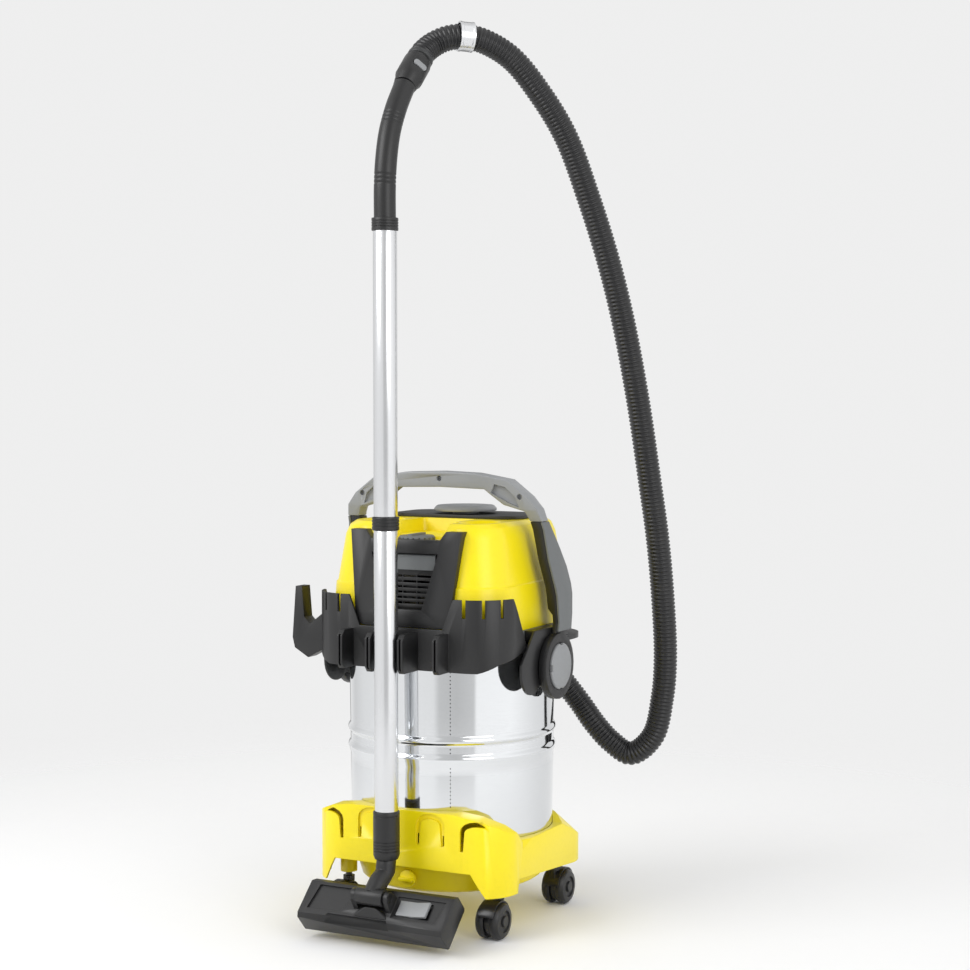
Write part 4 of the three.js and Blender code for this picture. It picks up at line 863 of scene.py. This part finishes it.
def make_ring():
    cuts = []
    for x, reach in POSTS:
        low, high = POST_SLIT_LOW, POST_SLIT_HIGH
        slit = [(x - POST_SLIT_HALF, low), (x + POST_SLIT_HALF, low), (x + POST_SLIT_HALF, high),
                (x - POST_SLIT_HALF, high)]
        cuts.append(front_cut(slit, -reach - 0.002, -reach + POST_SLIT_DEPTH))
    worked("accessory_ring", cutters=cuts, edge=0.001, angle=40)


make_ring()
print("ring: 4 slit posts")

# %% [markdown]
# The head is the machine's face. Its yellow shell carries a dark plate with a pale cleaning cap, the
# dial sits in a step at the front, and the black panel guards the filter's grille.

# %% The head
def make_head():
    worked("head_shell", edge=0.0016, angle=30)
    worked("head_tray", edge=0.0012)
    worked("top_plate", edge=0.0014)
    worked("front_panel", edge=0.0012)
    worked("vent_grille", edge=0.0004)
    worked("panel_catch", edge=0.0005)


def make_cap():
    profile = [(0.0004, -0.005), (0.020, -0.005), (0.020, 0), (0.0485, 0), (0.049, 0.0008), (0.049, 0.003),
               (0.0485, 0.0039), (0.0455, 0.0072), (0.0442, 0.008), (0.0412, 0.008), (0.0407, 0.0074),
               (0.0400, 0.0074), (0.0395, 0.0079), (0.012, 0.0078), (0.0116, 0.0072), (0.0004, 0.0072)]
    middle = DRUM + Vector((0, 0.045, 0.6218))
    cap = turned_piece("cleaning_cap", profile, middle, (0, 0, 1), "cap", "light", sides=96)
    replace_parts(cap, "top_cap")


DIAL_NOTCHES = 20
DIAL_EDGE, DIAL_Y = 0.0282, -0.112


def make_dial():
    notches = []
    for i in range(DIAL_NOTCHES):
        turn = 2 * math.pi * i / DIAL_NOTCHES
        x, y = DIAL_EDGE * math.cos(turn), DIAL_Y + DIAL_EDGE * math.sin(turn)
        corners = round_outline(x, y, 0.0014, 10)
        notches.append(at_drum(prism(corners, 0.58, 0.5905, "Z")))
    worked("power_dial", cutters=notches, edge=0.0006)


make_head()
make_cap()
make_dial()
print("head: shell, plate, panel, cap and dial")

# %% [markdown]
# The carrying handle bows back over its pivots. The grip is light grey with screw holes along it, and
# the arms are a smooth grey strip over a black web that diagonal ribs stiffen.

# %% The carrying handle
RIB_COUNT = 6
RIB_LOW, RIB_PITCH, RIB_WIDTH = 0.498, 0.0175, 0.0095
GRIP_FRONT = (-0.06, -0.036)
SCREW_HOLES = ((0, 0.675), (-0.136, 0.650), (0.136, 0.650))


def make_grip():
    cuts = [front_cut(round_outline(x, z, 0.0042), *GRIP_FRONT) for x, z in SCREW_HOLES]
    for side in (-1, 1):
        recess = [(0.088, 0.655), (0.118, 0.640), (0.134, 0.634), (0.128, 0.650), (0.112, 0.664),
                  (0.094, 0.668)]
        cuts.append(front_cut([(side * x, z) for x, z in recess], *GRIP_FRONT))
    seam = [(-0.0285, 0.684), (-0.0279, 0.684), (-0.0279, 0.70), (-0.0285, 0.70)]
    cuts.append(side_cut(seam, -0.058, 0.058))
    worked("handle_grip", cutters=cuts, edge=0.0035, angle=40)


def make_arm(side, name):
    worked("handle_strip_" + name, edge=0.0012)
    worked("handle_web_" + name, edge=0.0010)
    worked("pivot_bracket_" + name, edge=0.0012)
    worked("pivot_cap_" + name, edge=0.0010)
    bars = []
    for i in range(RIB_COUNT):
        z = RIB_LOW + i * RIB_PITCH
        inner = 0.164 - max(0, z - 0.50) * 0.13
        front = -0.004 - max(0, z - 0.51) * 0.26
        outline = [(front + 0.003, z), (front + 0.016, z + 0.008), (front + 0.016, z + 0.0105),
                   (front + 0.003, z + 0.0025)]
        bars.append(side_cut(outline, side * inner, side * (inner + RIB_WIDTH)))
    ribs = joined_shapes("arm_ribs_" + name, bars)
    ribs.data.materials.append(finishes["black"])
    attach(ribs, "handle")


make_grip()
for side, name in ((1, "right"), (-1, "left")):
    make_arm(side, name)
print("handle: grip, two arms with ribs, brackets and caps")

# %% [markdown]
# The wand is two drawn tubes with a moulded collar at their joint. Fine rings round the collar and
# the foot sleeve are finger grips, and the sharp ends of each tube are broken.

# %% The wand
WAND = DRUM + Vector((0, -0.205, 0))
TUBE_R, TUBE_BORE = 0.0175, 0.0163


def ringed(radius, low, high, count, depth):
    """Profile rows with shallow grooves between low and high."""
    rows = []
    step = (high - low) / count
    for i in range(count):
        z = low + i * step
        rows += [(radius, z), (radius, z + step * 0.6), (radius - depth, z + step * 0.68),
                 (radius - depth, z + step * 0.92)]
    return rows + [(radius, high)]


def make_wand():
    up = (0, 0, 1)
    body = "base_drum_wand"
    collar = [(0.0181, 0.6075), (0.0194, 0.6065), (0.0199, 0.6075), *ringed(0.0200, 0.609, 0.623, 3, 0.0007),
              (0.0199, 0.6245), (0.0194, 0.6255), (0.0181, 0.6245)]
    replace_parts(turned_piece("wand_collar", collar, WAND, up, body, "black", loop=True), "wand_joint_collar")
    sleeve = [(0.0004, 0.125), (0.0172, 0.125), (0.0195, 0.131), *ringed(0.0195, 0.134, 0.152, 4, 0.0008),
              (0.0195, 0.188), (0.0188, 0.1885), (0.0188, 0.1895), (0.0195, 0.190), (0.0195, 0.1942),
              (0.0190, 0.195), (0.0179, 0.195), (0.0179, 0.1596), (0.0004, 0.1596)]
    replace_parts(turned_piece("wand_sleeve", sleeve, WAND, up, body, "black"), "wand_foot_sleeve")
    for node, low, high in (("wand_lower_tube", 0.160, 0.616), ("wand_upper_tube", 0.6164, 1.046)):
        rows = [(TUBE_BORE, low), (0.0173, low), (TUBE_R, low + 0.0004), (TUBE_R, high - 0.0004),
                (0.0173, high), (TUBE_BORE, high)]
        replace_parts(turned_piece(node + "_drawn", rows, WAND, up, body, "chrome", sides=96, loop=True), node)


def make_curved_grip():
    route = [Vector(p) / 1000 for p in ((0, -205, 1046.4), (0, -205, 1058), (0, -205, 1100), (0, -201, 1140),
                                        (0, -191, 1180), (1, -174, 1217), (2, -150, 1253))]
    line, length = evenly(through([p + DRUM for p in route]), 0.0015)
    radii = []
    for i in range(len(line)):
        along = i / (len(line) - 1) * length
        radius = 0.016
        for ring in (0.060, 0.066, 0.072, 0.150, 0.156, 0.162):
            if abs(along - ring) < 0.001:
                radius = 0.0152
        if along > length - 0.004:
            radius = 0.0164
        radii.append(radius)
    grip = swept_piece("grip_bent", line, radii, "base_drum_wand", "black", sides=40)
    crisp(grip, 40)
    collar = [(0.0179, 1.0395), (0.0190, 1.039), (0.0195, 1.0396), *ringed(0.0195, 1.041, 1.053, 3, 0.0007),
              (0.0195, 1.0562), (0.0190, 1.057), (0.0004, 1.057), (0.0004, 1.0464), (0.0179, 1.0464)]
    turned_piece("grip_collar", collar, WAND, (0, 0, 1), "base_drum_wand", "black")
    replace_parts(grip, "hand_grip")
    worked("grip_cuff", edge=0.001)
    worked("cuff_button", edge=0.0012)
    worked("hose_swivel", edge=0.001)


make_wand()
make_curved_grip()
print("wand: tubes, collars, bent grip and cuff")

# %% [markdown]
# The floor nozzle hangs from the wand and leans back. Its top has a shallow panel on the left, a ridge in
# the middle and a rocker on the right, which moves with the comb. The neck turns in two ears.

# %% The floor nozzle
NOZZLE_LEAN = math.radians(43)
NOZZLE_AT = DRUM + Vector((-0.003, -0.233, 0.06308))
SCALLOPS, SCALLOP_PITCH = 9, 0.0265


def on_nozzle(shape):
    """Turns points drawn on a nozzle lying flat to where the leaning nozzle is."""
    points, faces = shape
    lean = Matrix.Translation(NOZZLE_AT) @ Matrix.Rotation(NOZZLE_LEAN, 4, "X")
    return [lean @ Vector(p) for p in points], faces


def make_nozzle():
    left = [(-0.108, -0.020), (-0.052, -0.020), (-0.040, 0.004), (-0.040, 0.021), (-0.102, 0.021)]
    right = [(0.032, -0.018), (0.104, -0.018), (0.110, 0.018), (0.032, 0.018)]
    front = [(-0.078, -0.040), (0.036, -0.040), (0.028, -0.0245), (-0.070, -0.0245)]
    cuts = [on_nozzle(prism(left, -0.0032, 0.01, "Z")), on_nozzle(prism(right, -0.0022, 0.01, "Z")),
            on_nozzle(prism(front, -0.0095, 0.01, "Z"))]
    for i in range(SCALLOPS):
        scallop = round_outline(-0.106 + i * SCALLOP_PITCH, -0.0478, 0.0098, 16)
        cuts.append(on_nozzle(prism(scallop, -0.0400, -0.0290, "Y")))
    worked("nozzle_body", cutters=cuts, edge=0.0016, angle=35)
    points = [(-0.031, -0.0245, 0), (0.031, -0.0245, 0), (0.022, -0.0105, 0), (-0.022, -0.0105, 0),
              (-0.009, -0.0115, 0.011), (0.009, -0.0115, 0.011)]
    faces = [(0, 1, 5, 4), (1, 2, 5), (0, 4, 3), (2, 3, 4, 5), (0, 3, 2, 1)]
    ridge_points, ridge_faces = on_nozzle((points, faces))
    ridge = add_piece("nozzle_ridge", ridge_points, ridge_faces, "nozzle", "black", smooth=False)
    soften = ridge.modifiers.new("edge", "BEVEL")
    soften.width = 0.0025
    soften.segments = 3
    settle_shape(ridge)
    for node in ("nozzle_pedal", "nozzle_comb", "nozzle_neck"):
        worked(node, edge=0.0008)


make_nozzle()
print("nozzle: body, rocker, comb and neck")

# %% [markdown]
# The rest is small or hidden: the elbow and gland at the back, and the motor, fan, filter and float
# that show when the head lifts off. Each keeps its CAD shape with broken edges and its own finish.

# %% Elbow, gland, seal and the inside
for node in ("inlet_elbow", "cord_gland", "drum_seal", "fan_housing", "fan", "motor_stator", "motor_rotor",
             "filter_frame", "float_cage", "float"):
    worked(node, edge=0.0006)
worked("pleated_filter", edge=0)
print("all", len(nodes), "pieces are dressed")
